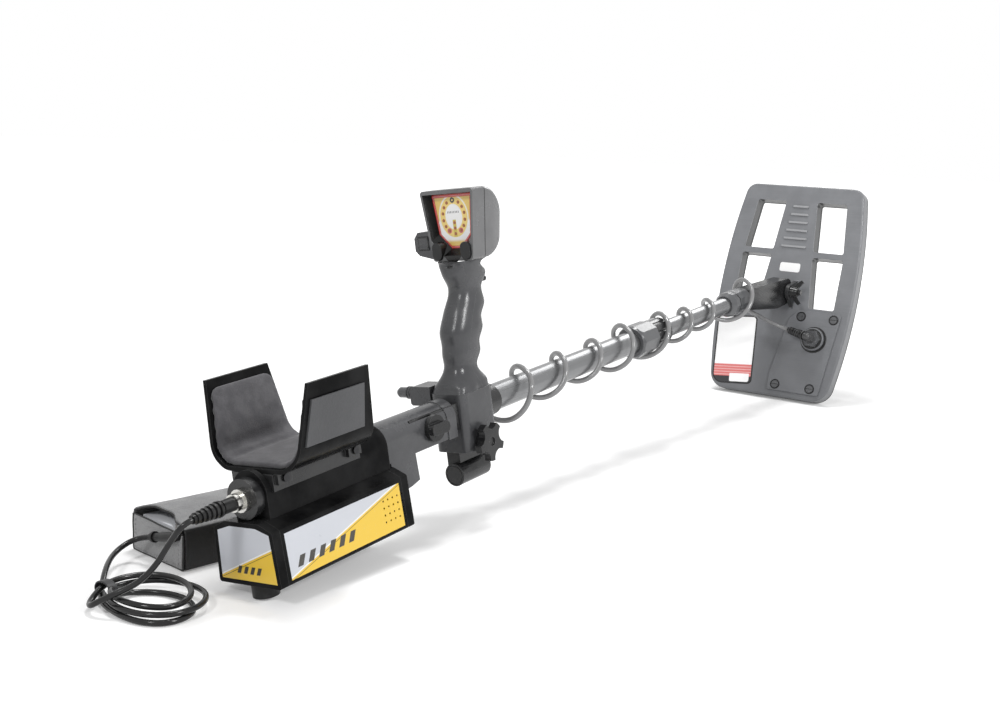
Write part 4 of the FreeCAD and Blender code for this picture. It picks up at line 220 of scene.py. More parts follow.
def speckle(tree, place, scale, detail, roughness=0.5):
    """The value of a noise texture."""
    return add(tree, "TexNoise", Vector=place, Scale=scale, Detail=detail,
               Roughness=roughness).outputs["Fac"]


def streaks(tree, place, scales, detail, roughness=0.5, turn=(0.0, 0.0, 0.0)):
    """Noise with a scale of its own along each axis."""
    drawn_out = add(tree, "Mapping", Vector=place, Scale=scales, Rotation=turn)
    return speckle(tree, drawn_out.outputs["Vector"], 1.0, detail, roughness)


def apart(tree, vector):
    """The three parts of a vector."""
    return add(tree, "SeparateXYZ", Vector=vector).outputs


def new_group(name, inputs, outputs):
    """An empty node group with its sockets; returns the tree, its inputs and its outputs."""
    tree = bpy.data.node_groups.new(name, "ShaderNodeTree")
    kinds = {"vector": "NodeSocketVector", "value": "NodeSocketFloat"}
    for label, kind, default in inputs:
        socket = tree.interface.new_socket(name=label, in_out="INPUT", socket_type=kinds[kind])
        if default is not None:
            socket.default_value = default
    for label, kind in outputs:
        tree.interface.new_socket(name=label, in_out="OUTPUT", socket_type=kinds[kind])
    return tree, tree.nodes.new("NodeGroupInput").outputs, tree.nodes.new("NodeGroupOutput").inputs


def use(tree, group_name, **inputs):
    """The outputs of one of the shared effects, placed in a material."""
    return add(tree, "Group", {"node_tree": bpy.data.node_groups[group_name]}, **inputs).outputs


def on_box(tree, across, up, middle, half_wide, half_high):
    """The mask of an upright rectangle."""
    return use(tree, "Rectangle", Across=across, Up=up, Middle_Across=middle[0],
               Middle_Up=middle[1], Half_Wide=half_wide, Half_High=half_high)["Mask"]


def on_ring(tree, across, up, middle, radius, half_width):
    """The mask of a ring, or of a disc where the half width is the radius."""
    return use(tree, "Ring", Across=across, Up=up, Middle_Across=middle[0],
               Middle_Up=middle[1], Radius=radius, Half_Width=half_width)["Mask"]


def new_material(name):
    """A material with only its Principled shader and output."""
    material = bpy.data.materials.new(name)
    material.use_nodes = True
    tree = material.node_tree
    return material, tree, tree.nodes["Principled BSDF"]


def bump(tree, height, distance, strength=1.0, before=None):
    """The normal that a height gives, over the normal before it."""
    made = add(tree, "Bump", Height=height, Distance=distance, Strength=strength)
    if before is not None:
        put(tree, made.inputs["Normal"], before)
    return made.outputs["Normal"]


# ---------------------------------------------------------------- shared effects


def moulded_grain():
    """Spark-eroded grain of a moulded plastic, with the slow change of gloss over it."""
    tree, given, gives = new_group(
        "Moulded Grain",
        [("Vector", "vector", None), ("Pitch", "value", 1500.0), ("Gloss", "value", 0.4),
         ("Spread", "value", 0.08)],
        [("Height", "value"), ("Roughness", "value"), ("Tone", "value")])
    slow = speckle(tree, given["Vector"], 28.0, 4.0, 0.55)
    shift = product(tree, maths(tree, "SUBTRACT", slow, 0.5), given["Spread"], 2.0)
    tree.links.new(speckle(tree, given["Vector"], given["Pitch"], 3.0, 0.6), gives["Height"])
    tree.links.new(maths(tree, "ADD", given["Gloss"], shift, clamp=True), gives["Roughness"])
    tree.links.new(slow, gives["Tone"])


def dust_and_rub():
    """Light dust in patches and fine handling scratches, as two masks."""
    tree, given, gives = new_group(
        "Dust And Rub",
        [("Vector", "vector", None), ("Dust", "value", 0.3), ("Scratches", "value", 0.3)],
        [("Dust", "value"), ("Scratch", "value")])
    patches = ramp(tree, speckle(tree, given["Vector"], 34.0, 6.0, 0.7), 0.5, 0.72)
    specks = ramp(tree, speckle(tree, given["Vector"], 900.0, 2.0), 0.5, 0.7)
    lines = streaks(tree, given["Vector"], (60.0, 900.0, 340.0), 2.0, turn=(0.4, 0.7, 0.3))
    tree.links.new(product(tree, patches, specks, given["Dust"]), gives["Dust"])
    tree.links.new(product(tree, ramp(tree, lines, 0.66, 0.74), given["Scratches"]),
                   gives["Scratch"])


def leather_grain():
    """Pebbled leather: cells with creases between them, and long soft folds."""
    tree, given, gives = new_group(
        "Leather Grain", [("Vector", "vector", None), ("Cells", "value", 620.0)],
        [("Height", "value"), ("Crease", "value"), ("Fold", "value")])
    warp = add(tree, "TexNoise", Vector=given["Vector"], Scale=320.0, Detail=2.0)
    shifted = vector_maths(tree, "MULTIPLY_ADD", warp.outputs["Color"], (0.0011,) * 3,
                           given["Vector"])["Vector"]
    cells = add(tree, "TexVoronoi", {"feature": "DISTANCE_TO_EDGE"}, Vector=shifted,
                Scale=given["Cells"])
    height = ramp(tree, cells.outputs["Distance"], 0.0, 0.16)
    tree.links.new(height, gives["Height"])
    tree.links.new(maths(tree, "SUBTRACT", 1.0, height), gives["Crease"])
    tree.links.new(speckle(tree, given["Vector"], 46.0, 3.0), gives["Fold"])


def open_foam():
    """Open cells of a foam or rubber sheet."""
    tree, given, gives = new_group(
        "Open Foam", [("Vector", "vector", None), ("Cells", "value", 1400.0)],
        [("Height", "value"), ("Tone", "value")])
    cells = add(tree, "TexVoronoi", {"feature": "SMOOTH_F1"}, Vector=given["Vector"],
                Scale=given["Cells"])
    slow = speckle(tree, given["Vector"], 70.0, 5.0, 0.6)
    tree.links.new(maths(tree, "MULTIPLY_ADD", slow, 0.5, cells.outputs["Distance"]),
                   gives["Height"])
    tree.links.new(slow, gives["Tone"])


def drawn_metal():
    """The fine lines that drawing leaves along a tube; the vector's second part runs along it."""
    tree, given, gives = new_group(
        "Drawn Metal", [("Vector", "vector", None)], [("Height", "value"), ("Streak", "value")])
    fine = streaks(tree, given["Vector"], (1400.0, 12.0, 1400.0), 3.0)
    broad = streaks(tree, given["Vector"], (260.0, 5.0, 260.0), 2.0)
    tree.links.new(fine, gives["Height"])
    tree.links.new(broad, gives["Streak"])


def patch_inputs(*sizes):
    """The inputs of a printed patch: where it is looked for, its middle, its sizes and its edge."""
    places = [(name, "value", 0.0) for name in ("Across", "Up", "Middle Across", "Middle Up")]
    return places + [(name, "value", size) for name, size in sizes] + [("Soft", "value", 0.0002)]


def box_patch():
    """A mask that is 1 inside an upright rectangle."""
    tree, given, gives = new_group(
        "Rectangle", patch_inputs(("Half Wide", 0.01), ("Half High", 0.01)), [("Mask", "value")])
    reach = []
    for at, half in (("Across", "Half Wide"), ("Up", "Half High")):
        away = difference(tree, given[at], given["Middle " + at])
        inside = maths(tree, "SUBTRACT", given[half], away)
        reach.append(maths(tree, "DIVIDE", inside, given["Soft"], clamp=True))
    tree.links.new(product(tree, *reach), gives["Mask"])


def ring_patch():
    """A mask that is 1 on a ring or, with a width as large as its radius, on a disc."""
    tree, given, gives = new_group(
        "Ring", patch_inputs(("Radius", 0.01), ("Half Width", 0.001)), [("Mask", "value")])
    far = diagonal(tree, *(maths(tree, "SUBTRACT", given[at], given["Middle " + at])
                           for at in ("Across", "Up")))
    inside = maths(tree, "SUBTRACT", given["Half Width"], difference(tree, far, given["Radius"]))
    tree.links.new(maths(tree, "DIVIDE", inside, given["Soft"], clamp=True), gives["Mask"])


def worn_edge():
    """A rounded edge's normal and a mask that is 1 along the edge."""
    tree, given, gives = new_group("Worn Edge", [("Radius", "value", 0.0007)],
                                   [("Normal", "vector"), ("Wear", "value")])
    rounded = add(tree, "Bevel", {"samples": 4}, Radius=given["Radius"]).outputs["Normal"]
    flat = add(tree, "NewGeometry").outputs["Normal"]
    same = vector_maths(tree, "DOT_PRODUCT", rounded, flat)["Value"]
    tree.links.new(rounded, gives["Normal"])
    tree.links.new(ramp(tree, same, 0.995, 0.9), gives["Wear"])


# ---------------------------------------------------------------- finishes


def blended(colour, share, other):
    """A colour moved a share of the way to another."""
    return tuple(a + (b - a) * share for a, b in zip(colour, other))


def paler(colour, share):
    """A colour moved a share of the way to white."""
    return blended(colour, share, (1.0, 1.0, 1.0))


def darker(colour, share):
    """A colour moved a share of the way to black."""
    return blended(colour, share, (0.0, 0.0, 0.0))


def moulded(tree, place, colour, gloss, pitch=1500.0, depth=0.00006, dust=0.12, scratches=0.25):
    """Moulded plastic's colour, roughness and normal: grain, dust, rubbed lines, paler edges."""
    grain = use(tree, "Moulded Grain", Vector=place, Pitch=pitch, Gloss=gloss, Spread=0.12)
    marks = use(tree, "Dust And Rub", Vector=place, Dust=dust, Scratches=scratches)
    edge = use(tree, "Worn Edge", Radius=0.0007)
    tone = mixed(tree, ramp(tree, grain["Tone"], 0.3, 0.7), darker(colour, 0.12),
                 paler(colour, 0.012))
    tone = mixed(tree, maths(tree, "MULTIPLY", edge["Wear"], 0.6), tone, paler(colour, 0.07))
    dusty = mixed(tree, marks["Dust"], tone, blended(colour, 0.09, (0.8, 0.79, 0.76)))
    rubbed = mixed(tree, marks["Scratch"], dusty, paler(colour, 0.05))
    return rubbed, grain["Roughness"], bump(tree, grain["Height"], depth, before=edge["Normal"])


def moulding(name, colour, gloss, specular=0.5, **settings):
    """Moulded plastic all over a part."""
    material, tree, shader = new_material(name)
    tone, rough, normal = moulded(tree, object_space(tree), colour, gloss, **settings)
    feed(tree, shader, Base_Color=tone, Roughness=rough, Normal=normal, Specular_IOR_Level=specular)
    return material


# The display head in the machine's frame. A tapering outline is a list of sides, each with its
# slope, a height on it and half the width at that height.
HOOD_SIDES = ((0.1209, 0.170, 0.0247), (0.8438, 0.154, 0.0112))
HOOD_TOP = 0.21565
HOOD_INNER_END = -0.044
COVER_SEAM = -0.0425


def half_width(tree, up, sides):
    """Half the width of a tapering outline at a height, as its narrower side allows."""
    halves = [maths(tree, "MULTIPLY_ADD", up, slope, half - height * slope)
              for slope, height, half in sides]
    return maths(tree, "MINIMUM", *halves)


def head_moulding(colour):
    """The display head's plastic, with painted shade in its hood and along its cover's seam."""
    material, tree, shader = new_material("head_moulding")
    place = placed_in(tree, MACHINE)
    x, y, z = apart(tree, place)
    # Painted shade: the inside of the hood and a thin line along the cover's seam are painted black.
    half = half_width(tree, z, HOOD_SIDES)
    inside = product(tree, maths(tree, "GREATER_THAN", half, maths(tree, "ABSOLUTE", x)),
                     maths(tree, "LESS_THAN", z, HOOD_TOP),
                     maths(tree, "LESS_THAN", y, HOOD_INNER_END))
    seam_shadow = ramp(tree, difference(tree, y, COVER_SEAM), 0.0011, 0.0007)
    tone, rough, normal = moulded(tree, place, colour, 0.24, pitch=1300.0)
    tone = mixed(tree, maths(tree, "MAXIMUM", inside, seam_shadow), tone, (0.001, 0.001, 0.001))
    feed(tree, shader, Base_Color=tone, Roughness=rough, Normal=normal, Specular_IOR_Level=0.4)
    return material


# The side pod's key in the machine's frame: its middle in x and z, half its width, the gap round
# it, and the y of the face that it stands in.
KEY_MIDDLE = (-0.0445, 0.1665)
KEY_HALF = 0.0056
KEY_GAP = 0.001
POD_FACE = -0.0475


def pod_moulding(colour):
    """The side pod's plastic, with painted shade in the gap round its key."""
    material, tree, shader = new_material("pod_moulding")
    place = placed_in(tree, MACHINE)
    x, y, z = apart(tree, place)
    outer, inner = (on_box(tree, x, z, KEY_MIDDLE, half, half)
                    for half in (KEY_HALF + KEY_GAP, KEY_HALF))
    # Painted shade: the gap round the key is painted nearly black on the pod's face.
    key_gap_shade = product(tree, maths(tree, "SUBTRACT", outer, inner),
                  maths(tree, "LESS_THAN", y, POD_FACE))
    tone, rough, normal = moulded(tree, place, colour, 0.3, pitch=1300.0, depth=0.00008)
    feed(tree, shader, Base_Color=mixed(tree, key_gap_shade, tone, (0.004, 0.004, 0.0045)), Roughness=rough,
         Normal=normal)
    return material


# Places on the search head, across it and along it in its own frame: the windows in its face, where
# the hinge's ears and the cross ribs begin, the cable's gland and the cover's screws.
WINDOW_MIDDLE = (0.053, 0.223)
WINDOW_HALF = (0.0305, 0.0845)
EARS_FROM = 0.138
CROSS_RIBS_FROM = 0.225
GLAND_AT = (0.060, 0.093)
COVER_SCREWS = ((0.034, 0.1263), (0.085, 0.1263), (0.013, 0.018), (0.068, 0.018))
FITTING_BLACK = (0.01, 0.01, 0.01)


def brushed_moulding(colour):
    """The search head's plastic, with the fine cross lines of its face, and painted shade and
    highlights.
    """
    material, tree, shader = new_material("search_head_moulding")
    place = placed_in(tree, COIL)
    x, y, z = apart(tree, place)
    fine = streaks(tree, place, (7.0, 2100.0, 300.0), 3.0, 0.6)
    tone, rough, normal = moulded(tree, place, colour, 0.34, pitch=1100.0, depth=0.00004, dust=0.06)
    lined = maths(tree, "MULTIPLY", ramp(tree, fine, 0.35, 0.65), 0.3)
    tone = mixed(tree, lined, tone, paler(colour, 0.06))
    # Painted shade: the head is painted darker, unevenly, toward its lower end.
    lower_end_shade = maths(tree, "MULTIPLY_ADD", speckle(tree, place, 9.0, 2.0), 0.08, y)
    tone = mixed(tree, ramp(tree, lower_end_shade, 0.0, 0.27, 0.45, 0.0), tone, darker(colour, 0.6))
    # Painted shade on the windows' walls, black ears, and a painted highlight on the ribs' tops.
    window = on_box(tree, maths(tree, "ABSOLUTE", x), y, WINDOW_MIDDLE, *WINDOW_HALF)
    window_wall_shade = product(tree, window, ramp(tree, z, -0.0008, -0.0024), 0.8)
    tone = mixed(tree, window_wall_shade, tone, (0.012, 0.012, 0.011))
    ears = product(tree, ramp(tree, z, 0.0028, 0.0036),
                   maths(tree, "GREATER_THAN", y, EARS_FROM), 0.9)
    tone = mixed(tree, ears, tone, FITTING_BLACK)
    # Painted highlight: the ribs' tops are painted paler.
    ribs = product(tree, ramp(tree, z, 0.0007, 0.0012),
                   maths(tree, "GREATER_THAN", y, CROSS_RIBS_FROM))
    tone = mixed(tree, ribs, tone, paler(colour, 0.16))
    # The boss under the cable's gland and the rim round it are black.
    boss = on_ring(tree, x, y, GLAND_AT, 0.0078, 0.0078)
    rim = on_ring(tree, x, y, GLAND_AT, 0.0188, 0.0014)
    tone = mixed(tree, maths(tree, "MAXIMUM", boss, rim), tone, FITTING_BLACK)
    # Painted shade: dark rings in the recesses round the cover's screws.
    for screw in COVER_SCREWS:
        recess_shade = on_ring(tree, x, y, screw, 0.0065, 0.0012)
        tone = mixed(tree, recess_shade, tone, (0.008, 0.008, 0.009))
    feed(tree, shader, Base_Color=tone, Roughness=rough,
         Normal=bump(tree, fine, 0.00002, before=normal))
    return material


# The cable boot's ribs: how far apart they are, and where they begin outside the gland's middle.
BOOT_PITCH = 0.0042
BOOT_HUB = 0.007


def ribbed_boot(colour):
    """Black rubber with painted shade in the grooves between a boot's ribs, spaced from its gland."""
    material, tree, shader = new_material("ribbed_boot")
    place = placed_in(tree, COIL)
    out = diagonal(tree, *(maths(tree, "SUBTRACT", part, middle)
                           for part, middle in zip(apart(tree, place), GLAND_AT)))
    step = maths(tree, "FRACT", maths(tree, "DIVIDE", out, BOOT_PITCH))
    groove_shade = product(tree, ramp(tree, difference(tree, step, 0.5), 0.12, 0.24, 1.0, 0.0),
                     maths(tree, "GREATER_THAN", out, BOOT_HUB))
    foam = use(tree, "Open Foam", Vector=place, Cells=2400.0)
    # Painted shade: the grooves are painted nearly black.
    tone = mixed(tree, groove_shade, darker(colour, 0.3), (0.003, 0.003, 0.003))
    ribs = bump(tree, maths(tree, "SUBTRACT", 1.0, groove_shade), 0.0009)
    feed(tree, shader, Base_Color=tone, Roughness=0.3,
         Normal=bump(tree, foam["Height"], 0.00003, before=ribs))
    return material


def anodised(colour):
    """Tube metal under a satin coating, with drawing lines along it."""
    material, tree, shader = new_material("anodised_tube")
    place = placed_in(tree, SHAFT)
    drawn = use(tree, "Drawn Metal", Vector=place)
    marks = use(tree, "Dust And Rub", Vector=place, Dust=0.08, Scratches=0.3)
    tone = mixed(tree, drawn["Streak"], darker(colour, 0.12), paler(colour, 0.03))
    worn = mixed(tree, marks["Scratch"], tone, paler(colour, 0.25))
    dusty = mixed(tree, marks["Dust"], worn, (0.4, 0.39, 0.37))
    rough = maths(tree, "ADD", 0.24, maths(tree, "MULTIPLY", drawn["Streak"], 0.08), clamp=True)
    feed(tree, shader, Base_Color=dusty, Metallic=0.8, Roughness=rough,
         Normal=bump(tree, drawn["Height"], 0.000012))
    return material


def plated(name, colour, gloss):
    """Plated or blackened metal with dulled patches."""
    material, tree, shader = new_material(name)
    place = object_space(tree)
    slow = speckle(tree, place, 240.0, 4.0)
    tone = mixed(tree, slow, darker(colour, 0.25), colour)
    rough = ramp(tree, slow, 0.3, 0.75, gloss, gloss + 0.16)
    feed(tree, shader, Base_Color=tone, Metallic=1.0, Roughness=rough,
         Normal=bump(tree, speckle(tree, place, 2600.0, 2.0), 0.00001))
    return material


def rubbery(name, colour, gloss):
    """Soft rubber or thread, with a bloom that dulls it in places."""
    material, tree, shader = new_material(name)
    place = object_space(tree)
    foam = use(tree, "Open Foam", Vector=place, Cells=2400.0)
    bloom = ramp(tree, foam["Tone"], 0.4, 0.75)
    tone = mixed(tree, bloom, colour, paler(colour, 0.02))
    rough = ramp(tree, foam["Tone"], 0.3, 0.75, gloss, gloss + 0.14)
    feed(tree, shader, Base_Color=tone, Roughness=rough, Specular_IOR_Level=0.3,
         Normal=bump(tree, foam["Height"], 0.00004))
    return material


def jacketed(name, colour, gloss, specular):
    """A cord's smooth jacket, duller in patches."""
    material, tree, shader = new_material(name)
    place = object_space(tree)
    slow = speckle(tree, place, 55.0, 3.0)
    tone = mixed(tree, slow, darker(colour, 0.1), paler(colour, 0.02))
    feed(tree, shader, Base_Color=tone, Roughness=ramp(tree, slow, 0.35, 0.7, gloss, gloss + 0.08),
         Specular_IOR_Level=specular, Normal=bump(tree, speckle(tree, place, 3200.0, 2.0), 0.000006))
    return material


def pouch_leather(name, colour):
    """Coated leather: pebbled, creased, greyer where it is rubbed, with painted shade on its side
    walls.
    """
    material, tree, shader = new_material(name)
    grain = use(tree, "Leather Grain", Vector=object_space(tree))
    rubbed = mixed(tree, ramp(tree, grain["Fold"], 0.42, 0.7), colour, paler(colour, 0.03))
    creased = mixed(tree, maths(tree, "MULTIPLY", grain["Crease"], 0.6), rubbed,
                    darker(colour, 0.5))
    # Painted shade: the pouch's side walls are painted nearly black.
    out = maths(tree, "ABSOLUTE", apart(tree, placed_in(tree, POUCH))["X"])
    side = maths(tree, "MULTIPLY", ramp(tree, out, 0.0396, 0.0404), 0.97)
    creased = mixed(tree, side, creased, (0.003, 0.003, 0.0035))
    rough = ramp(tree, grain["Fold"], 0.3, 0.7, 0.52, 0.4)
    fine = bump(tree, grain["Height"], 0.00012)
    feed(tree, shader, Base_Color=creased, Roughness=rough, Specular_IOR_Level=0.35,
         Normal=bump(tree, grain["Fold"], 0.0012, 0.6, fine))
    return material


def foam_sheet(colour):
    """The armrest's foam: matt, with open cells and the sheen of a soft pile."""
    material, tree, shader = new_material("pad_foam")
    foam = use(tree, "Open Foam", Vector=object_space(tree), Cells=1300.0)
    tone = mixed(tree, ramp(tree, foam["Tone"], 0.35, 0.7), darker(colour, 0.12),
                 paler(colour, 0.03))
    feed(tree, shader, Base_Color=tone, Roughness=0.93, Sheen_Weight=0.25,
         Normal=bump(tree, foam["Height"], 0.0003))
    return material


def copper_wire():
    """Enamelled copper, in fine parallel turns."""
    material, tree, shader = new_material("enamelled_copper")
    place = placed_in(tree, COIL)
    turns = add(tree, "TexWave", {"wave_type": "BANDS", "bands_direction": "Z"}, Vector=place,
                Scale=900.0, Distortion=1.5, Detail=1.0)
    tone = mixed(tree, turns.outputs["Fac"], (0.3, 0.09, 0.03), (0.62, 0.24, 0.09))
    feed(tree, shader, Base_Color=tone, Metallic=0.9, Roughness=0.35,
         Normal=bump(tree, turns.outputs["Fac"], 0.0002))
    return material


def circuit_board():
    """Green solder mask over faint straight tracks."""
    material, tree, shader = new_material("solder_mask")
    place = placed_in(tree, MACHINE)
    bricks = add(tree, "TexBrick", Vector=place, Scale=220.0, Color1=(0.01, 0.09, 0.035, 1),
                 Color2=(0.012, 0.12, 0.045, 1), Mortar=(0.02, 0.2, 0.08, 1), Mortar_Size=0.03)
    feed(tree, shader, Base_Color=bricks.outputs["Color"], Roughness=0.32,
         Normal=bump(tree, bricks.outputs["Fac"], 0.00003))
    return material


def lamp_lens():
    """Unlit amber lamp lenses, a little uneven in tone."""
    material, tree, shader = new_material("amber_lens")
    slow = speckle(tree, object_space(tree), 900.0, 2.0)
    tone = mixed(tree, slow, (0.28, 0.07, 0.02), (0.42, 0.16, 0.03))
    feed(tree, shader, Base_Color=tone, Roughness=0.18, Coat_Weight=0.6)
    return material


# How far a bar leans aside for each length that it rises.
BAR_SLANT = 0.5


def slanted_bars(tree, along, up, first, pitch, count, low, high, thick):
    """A row of short slanted bars as a mask, as on a warning stripe."""
    shifted = maths(tree, "SUBTRACT", along, maths(tree, "MULTIPLY", up, BAR_SLANT))
    step = maths(tree, "DIVIDE", maths(tree, "SUBTRACT", shifted, first), pitch)
    return product(tree, maths(tree, "LESS_THAN", maths(tree, "FRACT", step), thick),
                   maths(tree, "GREATER_THAN", step, 0.0), maths(tree, "LESS_THAN", step, count),
                   maths(tree, "GREATER_THAN", up, low), maths(tree, "LESS_THAN", up, high))


# The control box's printed panels in the machine's frame. The field's dividing line is given by its
# slope and its height at zero, on a side panel along y and on the rear one along x.
REAR_PANEL = -0.3845
SIDE_SPLIT = (0.268, 0.0305)
REAR_SPLIT = (0.42, -0.0545)
# The pale and the dark line along it: how far over it each lies, half its width, and its ink.
SPLIT_LINES = ((0.0007, 0.0006, (0.88, 0.88, 0.86)), (-0.0019, 0.0003, (0.22, 0.13, 0.01)))
BAR_INK = (0.03, 0.026, 0.02)


def panel_print(colours):
    """Printed panels: a silver field over a yellow one, parted by a straight slanting line."""
    material, tree, shader = new_material("panel_print")
    place = placed_in(tree, MACHINE)
    x, y, z = apart(tree, place)
    is_rear = maths(tree, "LESS_THAN", y, REAR_PANEL)
    is_side = maths(tree, "SUBTRACT", 1.0, is_rear)
    side_line = maths(tree, "MULTIPLY_ADD", y, *SIDE_SPLIT)
    rear_line = maths(tree, "MULTIPLY_ADD", x, *REAR_SPLIT)
    over = maths(tree, "SUBTRACT", z, mixed_values(tree, is_rear, side_line, rear_line))
    grain = use(tree, "Moulded Grain", Vector=place, Pitch=2200.0, Gloss=0.3, Spread=0.06)
    marks = use(tree, "Dust And Rub", Vector=place, Dust=0.05, Scratches=0.2)
    silver = mixed(tree, grain["Tone"], darker(colours.silver, 0.06), paler(colours.silver, 0.05))
    tone = mixed(tree, ramp(tree, over, -0.0001, 0.0001), colours.yellow, silver)
    for middle, half, ink in SPLIT_LINES:
        line = maths(tree, "LESS_THAN", difference(tree, over, middle), half)
        tone = mixed(tree, line, tone, ink)
    side_bars = slanted_bars(tree, y, z, first=-0.333, pitch=0.0125, count=6.0, low=-0.0625,
                             high=-0.0535, thick=0.52)
    rear_bars = slanted_bars(tree, x, z, first=0.019, pitch=0.0075, count=4.0, low=-0.0645,
                             high=-0.058, thick=0.55)
    for bars, panel in ((side_bars, is_side), (rear_bars, is_rear)):
        tone = mixed(tree, product(tree, bars, panel), tone, BAR_INK)
    worn = mixed(tree, marks["Scratch"], tone, (0.7, 0.7, 0.68))
    dusty = mixed(tree, marks["Dust"], worn, (0.5, 0.48, 0.44))
    feed(tree, shader, Base_Color=dusty, Roughness=grain["Roughness"], Coat_Weight=0.25,
         Coat_Roughness=0.2, Normal=bump(tree, grain["Height"], 0.00002))
    return material


# The display's printed face in the machine's frame: its sides as the hood's are given, its foot and
# top, the oval of its outer lamps, and the lamps down its middle.
FACE_SIDES = ((0.1154, 0.175, 0.0204), (0.9724, 0.1605, 0.0063))
FACE_FOOT = 0.1605
FACE_TOP = 0.214
OVAL_UP = 0.192
OVAL_HALF_WIDE = 0.0135
OVAL_HALF_HIGH = 0.0165
OVAL_LAMPS = (-58, -35, -12, 12, 35, 58, 122, 145, 168, 192, 215, 238)
LAMP_PLACES = [(OVAL_HALF_WIDE * math.cos(math.radians(angle)),
                OVAL_UP + OVAL_HALF_HIGH * math.sin(math.radians(angle))) for angle in OVAL_LAMPS]
LAMP_PLACES += [(0.0, 0.186), (0.0, 0.1805), (0.0, 0.175)]
# The rings round every lamp, as radius, half width and ink, and then the face's other rings, each
# with its place.
LAMP_RINGS = ((0.0016, 0.0004, (0.75, 0.3, 0.05)), (0.0012, 0.0003, (0.16, 0.05, 0.02)))
FACE_RINGS = (((0.0, 0.2085), 0.0019, 0.001, (0.04, 0.035, 0.035)),
              ((-0.00715, 0.178), 0.0021, 0.0007, (0.6, 0.09, 0.13)),
              ((0.00715, 0.178), 0.0021, 0.0007, (0.6, 0.09, 0.13)))
FACE_WHITE = (0.95, 0.95, 0.94)


def display_print(colours):
    """The display's printed face: red border, pale field, yellow corners, rings and a column."""
    material, tree, shader = new_material("display_print")
    place = placed_in(tree, MACHINE)
    x, _, z = apart(tree, place)
    inside = maths(tree, "SUBTRACT", half_width(tree, z, FACE_SIDES), maths(tree, "ABSOLUTE", x))
    for first, second in ((FACE_TOP, z), (z, FACE_FOOT)):
        inside = maths(tree, "MINIMUM", inside, maths(tree, "SUBTRACT", first, second))
    # The distance from the oval's middle, which is 1 on the oval.
    far = diagonal(tree, maths(tree, "DIVIDE", x, OVAL_HALF_WIDE),
                   maths(tree, "DIVIDE", maths(tree, "SUBTRACT", z, OVAL_UP), OVAL_HALF_HIGH))
    yellow = paler(colours.yellow, 0.12)
    corners = mixed(tree, ramp(tree, far, 1.28, 1.4), FACE_WHITE, yellow)
    foot = mixed(tree, ramp(tree, z, 0.166, 0.17), yellow, FACE_WHITE)
    field = mixed(tree, ramp(tree, z, 0.186, 0.19), foot, corners)
    band = product(tree, ramp(tree, far, 0.74, 0.8), ramp(tree, far, 1.28, 1.22))
    field = mixed(tree, band, field, blended(yellow, 0.5, (0.95, 0.75, 0.25)))
    column = on_box(tree, x, z, (0.0, 0.1805), 0.0021, 0.0085)
    field = mixed(tree, column, field, (0.62, 0.52, 0.08))
    scale = on_box(tree, x, z, (0.0, 0.1965), 0.0075, 0.0011)
    ticks = maths(tree, "LESS_THAN", maths(tree, "FRACT", maths(tree, "DIVIDE", x, 0.0019)), 0.5)
    field = mixed(tree, product(tree, scale, ticks), field, (0.12, 0.12, 0.13))
    rings = [(lamp, *ring) for lamp in LAMP_PLACES for ring in LAMP_RINGS]
    for middle, radius, half, ink in (*rings, *FACE_RINGS):
        field = mixed(tree, on_ring(tree, x, z, middle, radius, half), field, ink)
    bordered = mixed(tree, ramp(tree, inside, 0.0024, 0.0026), colours.red, field)
    line = maths(tree, "LESS_THAN", difference(tree, inside, 0.0013), 0.00022)
    bordered = mixed(tree, line, bordered, paler(colours.red, 0.35))
    fine = speckle(tree, place, 1800.0, 2.0)
    feed(tree, shader, Base_Color=bordered, Roughness=ramp(tree, fine, 0.3, 0.7, 0.2, 0.3),
         Coat_Weight=0.4, Coat_Roughness=0.08, Normal=bump(tree, fine, 0.00001))
    return material


def battery_wrap():
    """White shrink wrap with soft tension lines."""
    material, tree, shader = new_material("battery_wrap")
    lines = streaks(tree, placed_in(tree, POUCH), (90.0, 12.0, 90.0), 3.0)
    tone = mixed(tree, lines, (0.86, 0.88, 0.93), (0.95, 0.96, 0.98))
    feed(tree, shader, Base_Color=tone, Roughness=0.3, Normal=bump(tree, lines, 0.0006))
    return material


def paper(tree, place):
    """White gloss paper: its colour, its roughness and its fibres' height."""
    fibre = speckle(tree, place, 1500.0, 3.0)
    white = mixed(tree, fibre, (0.94, 0.94, 0.94), (0.97, 0.97, 0.97))
    return white, ramp(tree, fibre, 0.3, 0.7, 0.34, 0.44), fibre


def blank_paper():
    """A blank white sticker."""
    material, tree, shader = new_material("white_paper")
    white, rough, fibre = paper(tree, object_space(tree))
    feed(tree, shader, Base_Color=white, Roughness=rough, Normal=bump(tree, fibre, 0.00001))
    return material


# Heights on the search head's label in its own frame: where the red band and the dark foot begin,
# and the band's rules.
LABEL_RED = -0.0235
LABEL_DARK = -0.0425
RULES_FROM = -0.0365
RULE_PITCH = 0.0042


